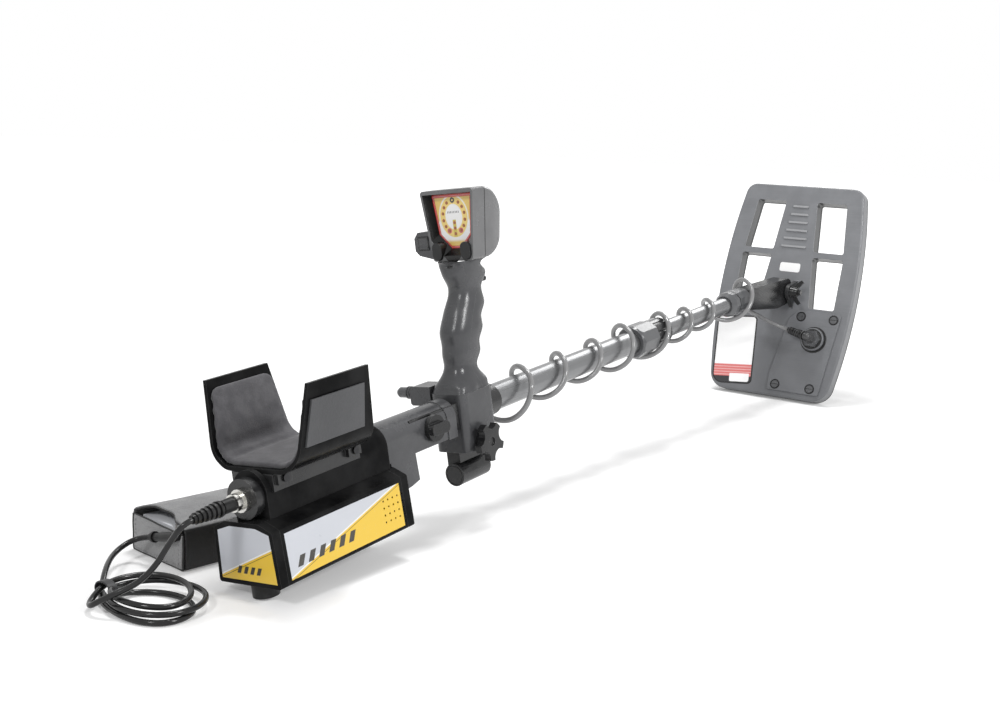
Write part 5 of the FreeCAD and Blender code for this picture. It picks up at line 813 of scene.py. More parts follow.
def label_print(label_frame, colours):
    """A blank white label with a ruled red band over its dark foot."""
    material, tree, shader = new_material("label_print")
    place = placed_in(tree, label_frame)
    up = apart(tree, place)["Y"]
    white, rough, fibre = paper(tree, place)
    red = mixed(tree, fibre, paler(colours.red, 0.12), paler(colours.red, 0.2))
    step = maths(tree, "DIVIDE", maths(tree, "SUBTRACT", up, RULES_FROM), RULE_PITCH)
    rules = maths(tree, "LESS_THAN", maths(tree, "FRACT", step), 0.3)
    red = mixed(tree, maths(tree, "MULTIPLY", rules, 0.45), red, (0.93, 0.8, 0.78))
    banded = mixed(tree, maths(tree, "LESS_THAN", up, LABEL_RED), white, red)
    banded = mixed(tree, maths(tree, "LESS_THAN", up, LABEL_DARK), banded, (0.025, 0.025, 0.028))
    feed(tree, shader, Base_Color=banded, Roughness=rough, Normal=bump(tree, fibre, 0.00001))
    return material


# ---------------------------------------------------------------- modelling helpers


def deselect():
    """Nothing active or selected, in object mode."""
    if bpy.context.object and bpy.context.object.mode != "OBJECT":
        bpy.ops.object.mode_set(mode="OBJECT")
    bpy.ops.object.select_all(action="DESELECT")


def pick(piece):
    """Only this piece selected and active."""
    deselect()
    piece.hide_viewport = False
    piece.select_set(True)
    bpy.context.view_layer.objects.active = piece
    return piece


def settle(piece, matrix, material, body, smooth=60.0):
    """Put a finished piece's place in its mesh, and give it its finish and its body."""
    piece.data.name = piece.name
    bpy.context.view_layer.update()
    piece.data.transform(matrix @ piece.matrix_world)
    piece.matrix_world = Matrix.Identity(4)
    piece.data.materials.clear()
    piece.data.materials.append(material)
    pick(piece)
    bpy.ops.object.shade_smooth_by_angle(angle=math.radians(smooth))
    if body:
        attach(piece, body)
    return piece


def apply_modifier(piece, kind, **settings):
    """Add one modifier with its settings and apply it."""
    pick(piece)
    modifier = piece.modifiers.new(kind.title(), kind)
    for name, value in settings.items():
        setattr(modifier, name, value)
    bpy.ops.object.modifier_apply(modifier=modifier.name)
    return piece


def linked(name, data):
    """A new object of the scene."""
    piece = bpy.data.objects.new(name, data)
    bpy.context.scene.collection.objects.link(piece)
    return piece


def mesh_piece(name, points, faces):
    """A new mesh object from points in metres and faces."""
    mesh = bpy.data.meshes.new(name)
    mesh.from_pydata([tuple(point) for point in points], [], faces)
    mesh.validate()
    mesh.update()
    return linked(name, mesh)


def joined(pieces, name):
    """Several mesh pieces as one."""
    deselect()
    for piece in pieces:
        piece.select_set(True)
    bpy.context.view_layer.objects.active = pieces[0]
    bpy.ops.object.join()
    pieces[0].name = name
    return pieces[0]


def outward(piece):
    """Merge doubles and turn every face outwards."""
    pick(piece)
    bpy.ops.object.mode_set(mode="EDIT")
    bpy.ops.mesh.select_all(action="SELECT")
    bpy.ops.mesh.remove_doubles(threshold=1e-6)
    bpy.ops.mesh.normals_make_consistent(inside=False)
    bpy.ops.object.mode_set(mode="OBJECT")
    return piece


def thickened(piece, thickness, offset):
    """A skin given its wall and smoothed once."""
    apply_modifier(piece, "SOLIDIFY", thickness=thickness, offset=offset)
    apply_modifier(piece, "SUBSURF", levels=1, render_levels=1)
    return outward(piece)


def round_curve(name, points, radius, steps, rounding):
    """A round NURBS curve through points in metres."""
    curve = bpy.data.curves.new(name, "CURVE")
    curve.dimensions = "3D"
    curve.resolution_u = steps
    spline = curve.splines.new("NURBS")
    spline.points.add(len(points) - 1)
    for point, place in zip(spline.points, points):
        point.co = (*place, 1.0)
    spline.order_u = 3
    spline.use_endpoint_u = True
    curve.bevel_depth = radius
    curve.bevel_resolution = rounding
    curve.use_fill_caps = True
    return linked(name, curve)


def line_of(cord):
    """Points down the middle of a cord's curve."""
    bare = bpy.data.objects.new("bare_line", cord.data.copy())
    bare.data.bevel_depth = 0.0
    mesh = bpy.data.meshes.new_from_object(bare)
    line = [vertex.co.copy() for vertex in mesh.vertices]
    bpy.data.meshes.remove(mesh)
    bpy.data.curves.remove(bare.data)
    return line


def cord_tube(name, points, diameter, material):
    """A cord's tube along a route, and the line down its middle."""
    cord = round_curve(name, points, diameter / 2, steps=12, rounding=5)
    line = line_of(cord)
    pick(cord)
    bpy.ops.object.convert(target="MESH")
    cord.data.name = name
    cord.data.materials.clear()
    cord.data.materials.append(material)
    outward(cord)
    bpy.ops.object.shade_smooth_by_angle(angle=math.radians(50))
    return cord, line


# ---------------------------------------------------------------- cord routes

# The cable's turns round the shaft in millimetres: where each one crests, and how far out. SWING is
# how many times further out the route's points lie than the curve that they pull.
CRESTS = [(27.5, 22.5), (106.5, 20.6), (184.8, 20.2), (252.3, 25.6), (352.0, 23.2), (420.4, 17.2),
          (490.2, 17.2), (611.6, 27.3)]
POINTS_PER_TURN = 6
SWING = 1.13
# How many turns the cable has made where its rear and its middle length end.
REAR_TURNS = 3
MIDDLE_TURNS = 5
# The boot on the cover plate in millimetres of the search head's frame, and the way that its tip
# points.
BOOT_ROOT = Vector((GLAND_AT[0] / MM, GLAND_AT[1] / MM, 16.2))
BOOT_TIP = BOOT_ROOT + Vector((-36.0, 8.5, 3.0))
BOOT_STEP = (BOOT_TIP - BOOT_ROOT - Vector((-3.0, 0.8, 7.5))).normalized()


def placed(matrix, points):
    """Points in millimetres of one frame as points in metres of the shared one."""
    return [matrix @ (Vector(point) * MM) for point in points]


def wound():
    """The cable's turns round the shaft, every sixth of a turn."""
    points = []
    for (y_1, r_1), (y_2, r_2) in zip(CRESTS, CRESTS[1:]):
        for step in range(POINTS_PER_TURN):
            share = step / POINTS_PER_TURN
            angle = math.pi / 2 + 2 * math.pi * share
            radius = (r_1 + (r_2 - r_1) * share) * SWING
            points.append((radius * math.cos(angle), y_1 + (y_2 - y_1) * share,
                           radius * math.sin(angle)))
    return points


def cable_route():
    """The search head's cable from plug to boot, and how many points come before its turns."""
    start = [(-34, -56, 17), (-34, -43, 17), (-33, -32, 7), (-25, -22, -13), (-9, -13, -28),
             (10, -5, -29), (25, 5, -13), (25, 17, 13)]
    end_y, end_r = CRESTS[-1]
    end = [(0, end_y, end_r * SWING), (-25, end_y + 16, 14), (-25, end_y + 33, -14), (-9, 662, -33)]
    face = [(-8, 110.5, 66), (-5, 108.5, 47), (2, 106.5, 30), BOOT_TIP + BOOT_STEP * 14, BOOT_TIP]
    return placed(MACHINE, start + wound() + end) + placed(COIL, face), len(start)


def halved(points, first, last):
    """A stretch of a route that begins and ends halfway along its runs."""
    stretch = points[first:last]
    if first:
        stretch = [(points[first - 1] + points[first]) / 2] + stretch
    if last < len(points):
        stretch = stretch + [(points[last - 1] + points[last]) / 2]
    return stretch


# The battery lead in millimetres: down from the plug, three turns of its hank, up to the pouch.
LEAD_DROP = [(12.5, -668, 59), (6, -674, 43), (-2, -681, 31), (-10, -688, 23.5), (-19, -697, 18.3),
             (-29, -704, 11.5), (-36.5, -705, 6.8), (-43.5, -700, 6.6), (-50, -688, 10)]
TOP_TURN = [(-54, -674, 13.2), (-53, -658, 13.9), (-46, -643, 13.8), (-33, -634, 13.8),
            (-16, -632, 13.8), (1, -636, 13.4), (15, -646, 12.4), (22, -660, 11.4),
            (21, -675, 11.4), (9, -687, 12.4), (-7, -692, 13.2), (-23, -691, 13.4)]
MIDDLE_TURN = [(-36, -686, 13.4), (-45, -676, 12), (-50, -662, 9.2), (-48, -646, 8.3),
               (-37, -633, 8.3), (-19, -626, 8.3), (-1, -625, 8.3), (16, -631, 8.3),
               (28, -645, 8.3), (32, -662, 8.3), (27, -680, 8.3), (12, -692, 8.3),
               (-8, -696, 8.3), (-27, -693, 8.4)]
LOW_TURN = [(-39, -685, 7.6), (-44, -673, 6.0), (-42, -658, 3.3), (-32, -647, 2.9),
            (-17, -640, 2.9), (0, -639, 2.9), (16, -645, 2.9), (28, -657, 2.9), (31, -673, 2.9),
            (25, -687, 2.9), (10, -695, 2.9), (-9, -696, 2.9), (-28, -692.5, 2.9)]
LEAD_RISE = [(-42, -688.5, 2.9), (-54, -681, 4.6), (-65, -670.5, 9), (-77, -658.5, 12.5),
             (-90, -645, 13.5), (-102, -631, 13.5), (-109.5, -617, 15), (-110, -605, 18.3),
             (-103.3, -597.3, 21.3), (-90.1, -596.2, 24.4)]


def lead_route():
    """The battery lead from the plug's boot, round its hank and up to the boot on the pouch."""
    from_plug = placed(MACHINE, [(0, -430.6, -2.6), (0, -443.6, -2.6)])
    on_floor = LEAD_DROP + TOP_TURN + MIDDLE_TURN + LOW_TURN + LEAD_RISE
    return from_plug + placed(Matrix.Identity(4), on_floor)


def machine_point(x, y, z):
    """A point in millimetres of the machine's frame as one in metres of the shared frame."""
    return MACHINE @ (Vector((x, y, z)) * MM)


# ---------------------------------------------------------------- soft pieces, labels and trim


def skin_of(name, rows, closed=False):
    """A skin through rows of points in millimetres; closed rows are rings, the last one filled."""
    count = len(rows[0])
    faces = []
    for level in range(len(rows) - 1):
        for index in range(count if closed else count - 1):
            after = (index + 1) % count
            faces.append((level * count + index, level * count + after,
                          (level + 1) * count + after, (level + 1) * count + index))
    if closed:
        faces.append(tuple((len(rows) - 1) * count + index for index in range(count)))
    return mesh_piece(name, [point * MM for row in rows for point in row], faces)


def piping(points, radius):
    """A round cord of trim along points in millimetres, as a mesh in metres."""
    route = [point * MM for point in points]
    piece = round_curve("piping", route, radius * MM, steps=4, rounding=2)
    pick(piece)
    bpy.ops.object.convert(target="MESH")
    return piece


# A stitch's radius in millimetres, its sides, and its rings of points: each one's shift along it in
# pitches, its rise in millimetres and its share of the radius.
THREAD = 0.42
THREAD_SIDES = 6
THREAD_RINGS = ((-0.34, -0.25, 0.6), (-0.16, 0.18, 1.0), (0.16, 0.18, 1.0), (0.34, -0.25, 0.6))


def stitch(middle, along, out, pitch):
    """One short sunk thread as its points, in metres."""
    side = along.cross(out).normalized()
    points = []
    for shift, rise, size in THREAD_RINGS:
        centre = middle + along * (shift * pitch) + out * rise
        for corner in range(THREAD_SIDES):
            angle = 2 * math.pi * corner / THREAD_SIDES
            spoke = side * math.cos(angle) + out * math.sin(angle)
            points.append((centre + spoke * THREAD * size) * MM)
    return points


def stitch_faces(base):
    """The faces of a stitch whose points start at a number."""
    faces = []
    for level in range(len(THREAD_RINGS) - 1):
        low = base + level * THREAD_SIDES
        high = low + THREAD_SIDES
        for corner in range(THREAD_SIDES):
            after = (corner + 1) % THREAD_SIDES
            faces.append((low + corner, low + after, high + after, high + corner))
    last = base + (len(THREAD_RINGS) - 1) * THREAD_SIDES
    faces.append(tuple(base + corner for corner in reversed(range(THREAD_SIDES))))
    faces.append(tuple(last + corner for corner in range(THREAD_SIDES)))
    return faces


def stitches(name, lines, pitch):
    """Rows of stitches along lines of (place, outward) in millimetres."""
    points = []
    faces = []
    for line in lines:
        run = 0.0
        due = pitch / 2
        for (start, out), (end, _) in zip(line, line[1:]):
            step = (end - start).length
            if step < 1e-6:
                continue
            along = (end - start) / step
            while due <= run + step:
                faces += stitch_faces(len(points))
                points += stitch(start + along * (due - run), along, out, pitch)
                due += pitch
            run += step
    return mesh_piece(name, points, faces)


# The pouch in millimetres of its own frame: its length, where its skin begins, how low the skin's
# points may lie for its wall to clear the floor, the height that its far end closes in on, the height
# over which its front edge is loose, and the spacing of the points round its section.
POUCH_LONG = 127.0
POUCH_FRONT = 1.6
POUCH_FOOT = 2.7
POUCH_MIDDLE = 20.0
LOOSE_FROM = 37.0
SECTION_STEP = 3.2
# The end panel's foot, its height at its left edge, half its width and the rows and columns of its
# points, and the wall of the panel and the skin in metres.
END_FOOT = 1.3
END_TOP = 34.6
END_HALF = 38.6
END_ROWS = 12
END_COLUMNS = 24
POUCH_WALL = 0.0021


def pouch_section():
    """The pouch's section as (x, z, share of the top)."""
    corners = [(-39.5, 0.8, 0), (39.5, 0.8, 0), (40.6, 3.0, 0), (41.0, 20.0, 0), (40.4, 34.5, 0),
               (38.6, 37.6, 0.15), (30.0, 40.4, 0.7), (18.0, 42.6, 1), (0.0, 43.4, 1),
               (-18.0, 42.8, 1), (-30.0, 40.6, 0.7), (-38.8, 37.8, 0.15), (-40.6, 34.5, 0),
               (-41.0, 20.0, 0), (-40.6, 3.0, 0)]
    ring = []
    for (x_1, z_1, t_1), (x_2, z_2, t_2) in zip(corners, corners[1:] + corners[:1]):
        steps = max(1, round(math.hypot(x_2 - x_1, z_2 - z_1) / SECTION_STEP))
        for step in range(steps):
            share = step / steps
            ring.append((x_1 + (x_2 - x_1) * share, z_1 + (z_2 - z_1) * share,
                         t_1 + (t_2 - t_1) * share))
    return ring


def hump(value, middle, spread):
    """A smooth hump that is 1 in its middle."""
    return math.exp(-((value - middle) / spread) ** 2)


def mouth_line(x):
    """Where the top skin's loose edge lies behind the end panel."""
    return 3.0 + 10.0 * hump(x, -2.0, 24.0) + 1.2 * math.sin(x * 0.21)


def pouch_point(x, z, top, share):
    """A point of the pouch's skin, with its sag and its soft dents."""
    start = POUCH_FRONT + (mouth_line(x) - POUCH_FRONT) * top
    y = start + (POUCH_LONG - start) * share
    dent = noise.noise(Vector((x * 0.03, y * 0.022, z * 0.03 + 4.0)))
    fine = noise.noise(Vector((x * 0.11, y * 0.075, z * 0.11 + 9.0)))
    near = hump(y, 0.0, 22.0)
    sag = top * (2.6 * near * hump(x, 12.0, 16.0) + 1.6 * hump(y, 70.0, 40.0))
    lift = top * 0.9 * near * hump(x, -20.0, 12.0)
    bulge = (1.1 * dent + 0.45 * fine) * (1.0 if z > 3.5 else 0.15)
    side = math.copysign(1.0, x) if abs(x) > 39.0 else 0.0
    return Vector((x - side * (0.6 - bulge), y, max(POUCH_FOOT, z - sag + lift + top * bulge)))


def skin_line(x, z, top, rise=0.0):
    """A line along the skin from its mouth to its far end."""
    shares = [0.0] + [0.03 + 0.06 * step for step in range(17)]
    return [pouch_point(x, z, top, share) + Vector((0, 0, rise)) for share in shares]


def pouch_rings(section):
    """The skin's rings from its mouth to its far end, where they close in on a flat patch."""
    shares = [0.0, 0.012, 0.03] + [0.06 + 0.047 * step for step in range(20)] + [0.985, 1.0]
    rings = [[pouch_point(x, z, top, share) for x, z, top in section] for share in shares]
    last = rings[-1]
    for shrink, push in ((0.97, 0.9), (0.8, 1.3), (0.4, 1.5)):
        rings.append([Vector((point.x * shrink, POUCH_LONG + push,
                              POUCH_MIDDLE + (point.z - POUCH_MIDDLE) * shrink)) for point in last])
    return rings


def pouch_end_rows():
    """The end panel's rows of points from its foot up, swollen, dented and leaning in at its top."""
    rows = []
    for level in range(END_ROWS + 1):
        up = level / END_ROWS
        row = []
        for step in range(END_COLUMNS + 1):
            x = -END_HALF + 2 * END_HALF * step / END_COLUMNS
            top = END_TOP - 0.022 * (x + END_HALF) - 1.0 * hump(x, 6.0, 17.0)
            z = END_FOOT + (top - END_FOOT) * up
            swell = 1.3 * math.sin(math.pi * up) * (1 - (x / 39.0) ** 4)
            dent = 0.55 * noise.noise(Vector((x * 0.06, 3.0, z * 0.08)))
            lean = 1.2 * up * up * hump(x, 4.0, 22.0)
            row.append(Vector((x, 1.0 - swell - dent + lean, z)))
        rows.append(row)
    return rows


def around(rows, aside, rise, forward=0.0):
    """The line down the rows' left edge, along their foot and up their right edge, moved inward by
    aside, forward, and at the foot up by rise."""
    left = [row[0] + Vector((aside, -forward, 0)) for row in reversed(rows)]
    foot = [point + Vector((0, -forward, rise)) for point in rows[0][1:-1]]
    right = [row[-1] + Vector((-aside, -forward, 0)) for row in rows]
    return left + foot + right


def pouch_trims(rows, loose):
    """The piping round the end panel, on its top, on the loose edge and along the long edges."""
    trims = [piping(around(rows, -1.0, 0.2), 1.15), piping(rows[-1], 0.9), piping(loose, 0.95)]
    trims += [piping(skin_line(x, 37.0, 0.05, 0.3), 0.8) for x in (40.3, -40.3)]
    trims += [piping(skin_line(x, 1.6, 0.0), 0.8) for x in (40.2, -40.2)]
    return trims


def pouch_seams(rows, loose):
    """The stitches' lines as (place, outward): round the panel, on the mouth and along the skin."""
    front = Vector((0, -1, 0))
    above = Vector((0, 0, 1))
    panel = around([row[1:-1] for row in rows[1:-1]], 1.2, 0.4, forward=1.1)
    seams = [[(point, front) for point in panel],
             [(point + Vector((0, 3.0, 0.1)), above) for point in loose[2:-2]]]
    for x, side in ((36.6, 1), (-36.8, -1)):
        outside = Vector((side, 0, 0))
        seams.append([(point + above * 0.25, above) for point in skin_line(x, 38.3, 0.28)[1:]])
        seams.append([(point + outside * 0.5, outside)
                      for point in skin_line(side * 41.0, 33.0, 0.0)[1:]])
    return seams


def tongue_rows():
    """The rows of the loose tongue that curls out of the mouth."""
    rows = []
    for step in range(9):
        share = step / 8
        middle = Vector((17.5 + 9.0 * share, 9.5 - 7.5 * share, 38.6 - 3.4 * share ** 2))
        width = 2.2 + 0.6 * math.sin(step * 2.1)
        rows.append([middle + Vector((width * (part / 4 - 0.5), width * 0.4 * (part / 4 - 0.5),
                                      0.5 * math.sin(step * 1.7 + part))) for part in range(5)])
    return rows


class DETECTOR_OT_pouch(bpy.types.Operator):
    """Sew the battery pouch: its skin, end panel, piping, stitches and loose tongue"""

    bl_idname = "detector.pouch"
    bl_label = "Battery pouch"

    def execute(self, context):
        colours = context.scene.detector_colours
        pitch = context.scene.detector_sizes.stitch / MM
        leather = pouch_leather("pouch_leather", colours.leather)
        # Painted light: the end panel's leather is a paler copy of the pouch's, for the face that the
        # light falls on.
        lit_end_leather = pouch_leather("pouch_end_leather", paler(colours.leather, 0.1))
        trim = rubbery("pouch_piping", darker(colours.leather, 0.93), 0.34)
        thread = rubbery("pouch_thread", paler(colours.leather, 0.05), 0.5)
        lining = moulding("pouch_lining", (0.32, 0.31, 0.3), 0.8, pitch=900.0, depth=0.0002)
        section = pouch_section()
        loose = [pouch_point(x, z, top, 0.0) for x, z, top in section if z > LOOSE_FROM]
        rows = pouch_end_rows()

        skin = thickened(skin_of("pouch_skin", pouch_rings(section), closed=True), POUCH_WALL, -1.0)
        settle(skin, POUCH, leather, "detector")
        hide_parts("pouch")
        panel = thickened(skin_of("pouch_end", rows), POUCH_WALL, 0.0)
        settle(panel, POUCH, lit_end_leather, "detector")
        binding = joined(pouch_trims(rows, loose), "pouch_binding")
        settle(binding, POUCH, trim, "detector")
        sewn = outward(stitches("pouch_stitches", pouch_seams(rows, loose), pitch))
        settle(sewn, POUCH, thread, "detector")
        tongue = thickened(skin_of("pouch_tongue", tongue_rows()), 0.0006, 0.0)
        settle(tongue, POUCH, lining, "detector")
        return {"FINISHED"}


# The armrest's pad in metres of the machine's frame: its foot, how far it rises, its two edges (each
# with its place at the foot, how far it moves by the top, and its side), the radius of its upper
# corners, how far the cloth may swell, and the number of frames that it swells for.
PAD_FOOT = 0.0154
PAD_RISE = 0.0746
PAD_EDGES = ((-0.361, 0.014, -1.0), (-0.271, -0.009, 1.0))
PAD_CORNER = 0.009
PAD_SWELL = 0.0011
SWELL_FRAMES = 14


def round_corners(pad):
    """Round the pad's upper corners."""
    middle = max(vertex.co.z for vertex in pad.data.vertices) - PAD_CORNER
    for vertex in pad.data.vertices:
        y, z = vertex.co.y, vertex.co.z
        up = (z - PAD_FOOT) / PAD_RISE
        for foot, move, side in PAD_EDGES:
            edge = foot + move * up
            across = (y - edge) * side + PAD_CORNER
            rise = z - middle
            reach = math.hypot(across, rise)
            if across > 0 and rise > 0 and reach > PAD_CORNER:
                vertex.co.y = edge + side * (across * PAD_CORNER / reach - PAD_CORNER)
                vertex.co.z = middle + rise * PAD_CORNER / reach


def swell(pad, scene):
    """Swell the pad as cloth under pressure, by no more than PAD_SWELL anywhere."""
    rest = [vertex.co.copy() for vertex in pad.data.vertices]
    pick(pad)
    cloth = pad.modifiers.new("Cloth", "CLOTH")
    settings = cloth.settings
    settings.quality = 4
    settings.use_pressure = True
    settings.uniform_pressure_force = 4.0
    settings.effector_weights.gravity = 0.0
    settings.tension_stiffness = 25.0
    settings.compression_stiffness = 25.0
    settings.shear_stiffness = 10.0
    for number in range(1, SWELL_FRAMES + 1):
        scene.frame_set(number)
    bpy.ops.object.modifier_apply(modifier=cloth.name)
    scene.frame_set(1)
    for vertex, home in zip(pad.data.vertices, rest):
        moved = vertex.co - home
        if moved.length > PAD_SWELL:
            moved *= PAD_SWELL / moved.length
        vertex.co = home + moved
    pad.data.update()


class DETECTOR_OT_pad(bpy.types.Operator):
    """Press the armrest's foam pad into its cradle"""

    bl_idname = "detector.pad"
    bl_label = "Armrest pad"

    def execute(self, context):
        source = bpy.data.objects["armrest_pad"]
        mesh = bpy.data.meshes.new_from_object(source)
        mesh.transform(MACHINE.inverted() @ source.matrix_world)
        pad = outward(linked("armrest_foam", mesh))
        apply_modifier(pad, "REMESH", mode="VOXEL", voxel_size=0.0019, use_smooth_shade=True)
        round_corners(pad)
        apply_modifier(pad, "SMOOTH", factor=0.5, iterations=3)
        settle(pad, MACHINE, foam_sheet((0.075, 0.073, 0.08)), None)
        swell(pad, context.scene)
        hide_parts("armrest_pad")
        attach(pad, "detector")
        return {"FINISHED"}


def plate(name, wide, high, corners, thick):
    """A flat plate in millimetres on its own middle; its corners' radii go round from lower left."""
    points = []
    for number, radius in enumerate(corners):
        side = -1 if number in (0, 3) else 1
        end = -1 if number < 2 else 1
        middle = Vector((side * (wide / 2 - radius), end * (high / 2 - radius), 0.0))
        for step in range(9):
            angle = math.radians(180 + 90 * number + 90 * step / 8)
            points.append((middle + Vector((math.cos(angle), math.sin(angle), 0.0)) * radius) * MM)
    piece = mesh_piece(name, points, [tuple(range(len(points)))])
    apply_modifier(piece, "SOLIDIFY", thickness=thick * MM, offset=1.0)
    return outward(piece)


# The label's middle on the search head in millimetres, and its turn in degrees.
LABEL_AT = (-63.4, 62.6, 0.0)
LABEL_TILT = 5.5


class DETECTOR_OT_labels(bpy.types.Operator):
    """Stick the blank labels on the search head"""

    bl_idname = "detector.labels"
    bl_label = "Labels"

    def execute(self, context):
        thick = context.scene.detector_sizes.label / MM
        turn = Matrix.Rotation(math.radians(LABEL_TILT), 4, "Z")
        at = COIL @ Matrix.Translation(Vector(LABEL_AT) * MM) @ turn
        # Painted shade: the black frame plate round the label stands for the shadow of the recess
        # that the label lies in.
        gloss = moulding("label_frame", (0.015, 0.015, 0.016), 0.22)
        printed = label_print(at, context.scene.detector_colours)
        white = blank_paper()
        for name, wide, high, corners, place, matrix, material in (
                ("label_frame", 66.0, 108.0, (17.0, 7.0, 7.0, 7.0), (0.0, 0.0, 0.0), at, gloss),
                ("label_face", 61.5, 103.5, (14.8, 5.0, 5.0, 5.0), (0.0, 0.0, thick), at, printed),
                ("label_box", 32.0, 13.0, (2.0, 3.5, 1.0, 1.0), (12.0, -44.5, 2 * thick), at,
                 white),
                ("pivot_sticker", 32.4, 14.0, (3.0, 3.0, 3.0, 3.0), (0.4, 201.0, 0.0), COIL,
                 white)):
            piece = plate(name, wide, high, corners, thick)
            piece.location = Vector(place) * MM
            settle(piece, matrix, material, "search_head", smooth=30.0)
        return {"FINISHED"}


# The tie round the hank in millimetres: its middle, its own axis and the one across it, half its
# width and height, and how low it may lie for its wall to clear the floor.
TIE_AT = Vector((-50.0, -678.0, 9.0))
TIE_ALONG = Vector((0.12, 1.0, 0.0)).normalized()
TIE_ACROSS = Vector((1.0, -0.12, 0.0)).normalized()
TIE_HALF = (11.0, 6.9)
TIE_FLOOR = 3.0


def tie_rows():
    """The tie's rows once round the hank, with its end lying over its start and lifting off."""
    rows = []
    for step in range(53):
        angle = math.radians(-60 + 8.0 * step)
        lift = 1.0 + 0.0022 * max(0, step - 42) ** 1.5 + 0.02 * (step > 44)
        middle = TIE_AT + TIE_ACROSS * (TIE_HALF[0] * lift * math.cos(angle))
        middle.z = max(middle.z + TIE_HALF[1] * lift * math.sin(angle), TIE_FLOOR)
        rows.append([middle + TIE_ALONG * shift for shift in (-4.0, -3.4, -1.4, 1.4, 3.4, 4.0)])
    return rows


class DETECTOR_OT_tie(bpy.types.Operator):
    """Wrap the tie round the battery lead's hank"""

    bl_idname = "detector.tie"
    bl_label = "Lead tie"

    def execute(self, context):
        soft = rubbery("tie_rubber", (0.02, 0.02, 0.022), 0.4)
        band = thickened(skin_of("lead_tie", tie_rows()), 0.0013, 1.0)
        settle(band, Matrix.Identity(4), soft, "detector")
        return {"FINISHED"}


# ---------------------------------------------------------------- finishing, cords and stage

PAINTED = {
    "moulding": ["shaft_liners", "collar_sleeve", "clamp_barrel", "rear_ring", "armrest_rail"],
    "housing": ["rear_housing", "box_shell", "box_caps", "armrest_cradle", "speaker"],
    "grip": ["rear_arm", "connector_box", "handle_rear_shell", "handle_front_shell"],
    "head": ["head_hood", "head_cover"],
    "pod": ["side_pod", "pod_rocker"],
    "fittings": ["cable_plug", "lock_nut", "collet", "front_collar", "cover_screws", "side_switch",
                 "gland_nut"],
    "dark_fittings": ["coil_stem", "wing_nut", "hinge_bolt", "stem_washers", "star_knob",
                      "thumb_turn", "trigger", "left_button", "right_button"],
    "ribbed_boot": ["cable_boot"],
    "tube": ["upper_tube", "lower_tube"],
    "search_head": ["coil_shell", "cover_plate"],
    "skid": ["coil_skid_plate"],
    "rubber": ["plug_body", "box_foot", "pouch_boot"],
    "nickel": ["clamp_nut", "panel_socket"],
    "dark_screws": ["housing_screws"],
    "plates": ["armrest_plates"],
    "panels": ["box_panels"],
    "display": ["display_panel"],
    "lamps": ["display_lamps"],
    "battery": ["battery_pack"],
    "copper": ["coil_windings"],
    "board": ["circuit_boards"],
}


class DETECTOR_OT_finishes(bpy.types.Operator):
    """Give every moulded, metal and printed part its finish"""

    bl_idname = "detector.finishes"
    bl_label = "Finishes"

    def execute(self, context):
        colours = context.scene.detector_colours
        for effect in (moulded_grain, dust_and_rub, leather_grain, open_foam, drawn_metal,
                       box_patch, ring_patch, worn_edge):
            effect()
        made = {
            "moulding": moulding("black_moulding", colours.moulding, 0.2, 0.4, dust=0.04),
            "housing": moulding("black_housing", darker(colours.moulding, 0.6), 0.2, 0.04,
                                pitch=1100.0, dust=0.03, scratches=0.1),
            "grip": moulding("grip_moulding", colours.grip, 0.26, 0.4, pitch=1300.0),
            "fittings": moulding("grey_fittings", colours.fittings, 0.22),
            "dark_fittings": moulding("dark_fittings", darker(colours.fittings, 0.85), 0.2, 0.28,
                                      dust=0.02, scratches=0.1),
            "ribbed_boot": ribbed_boot(colours.cord),
            "tube": anodised(colours.tube),
            # Painted light: the display head takes the grip's colour made paler, for its lit faces.
            "head": head_moulding(paler(colours.grip, 0.09)),
            "pod": pod_moulding(colours.grip),
            "search_head": brushed_moulding(colours.search_head),
            "skid": moulding("skid_plate_moulding", colours.moulding, 0.5, scratches=1.2),
            "rubber": rubbery("black_rubber", darker(colours.cord, 0.93), 0.3),
            "nickel": plated("nickel_plate", (0.66, 0.65, 0.62), 0.16),
            "dark_screws": plated("blackened_screws", (0.05, 0.05, 0.052), 0.3),
            "plates": moulding("coarse_plates", colours.grip, 0.6, pitch=420.0, depth=0.0004),
            "panels": panel_print(colours),
            "display": display_print(colours),
            "lamps": lamp_lens(),
            "battery": battery_wrap(),
            "copper": copper_wire(),
            "board": circuit_board(),
        }
        for finish, nodes in PAINTED.items():
            for node in nodes:
                for slot in bpy.data.objects[node].material_slots:
                    slot.material = made[finish]
        return {"FINISHED"}


class DETECTOR_OT_cable(bpy.types.Operator):
    """Lay the search head's cable, in three lengths parted where the shaft's joints are"""

    bl_idname = "detector.cable"
    bl_label = "Search head cable"

    def execute(self, context):
        diameter = context.scene.detector_sizes.cable
        colour = paler(context.scene.detector_colours.cord, 0.15)
        jacket = jacketed("cable_jacket", colour, 0.12, 0.6)
        route, head = cable_route()
        rear_end = head + REAR_TURNS * POINTS_PER_TURN + 1
        mid_end = head + MIDDLE_TURNS * POINTS_PER_TURN + 1
        lengths = (
            ("cable_rear", 0, rear_end, "detector", "twist_bush", machine_point(0, 120, 0),
             machine_point(0, 256, 0)),
            ("cable_mid", rear_end, mid_end, "twist_bush", "lower_shaft", machine_point(0, 268, 0),
             machine_point(0, 420, 0)),
            ("cable_tail", mid_end, len(route), "lower_shaft", "search_head",
             machine_point(-20, 640, -5), COIL @ (BOOT_TIP * MM)),
        )
        for node, first, last, before, after, start, end in lengths:
            points = halved(route, first, last)
            cord, line = cord_tube(node + "_cord", points, diameter, jacket)
            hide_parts(node)
            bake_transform(cord)
        return {"FINISHED"}


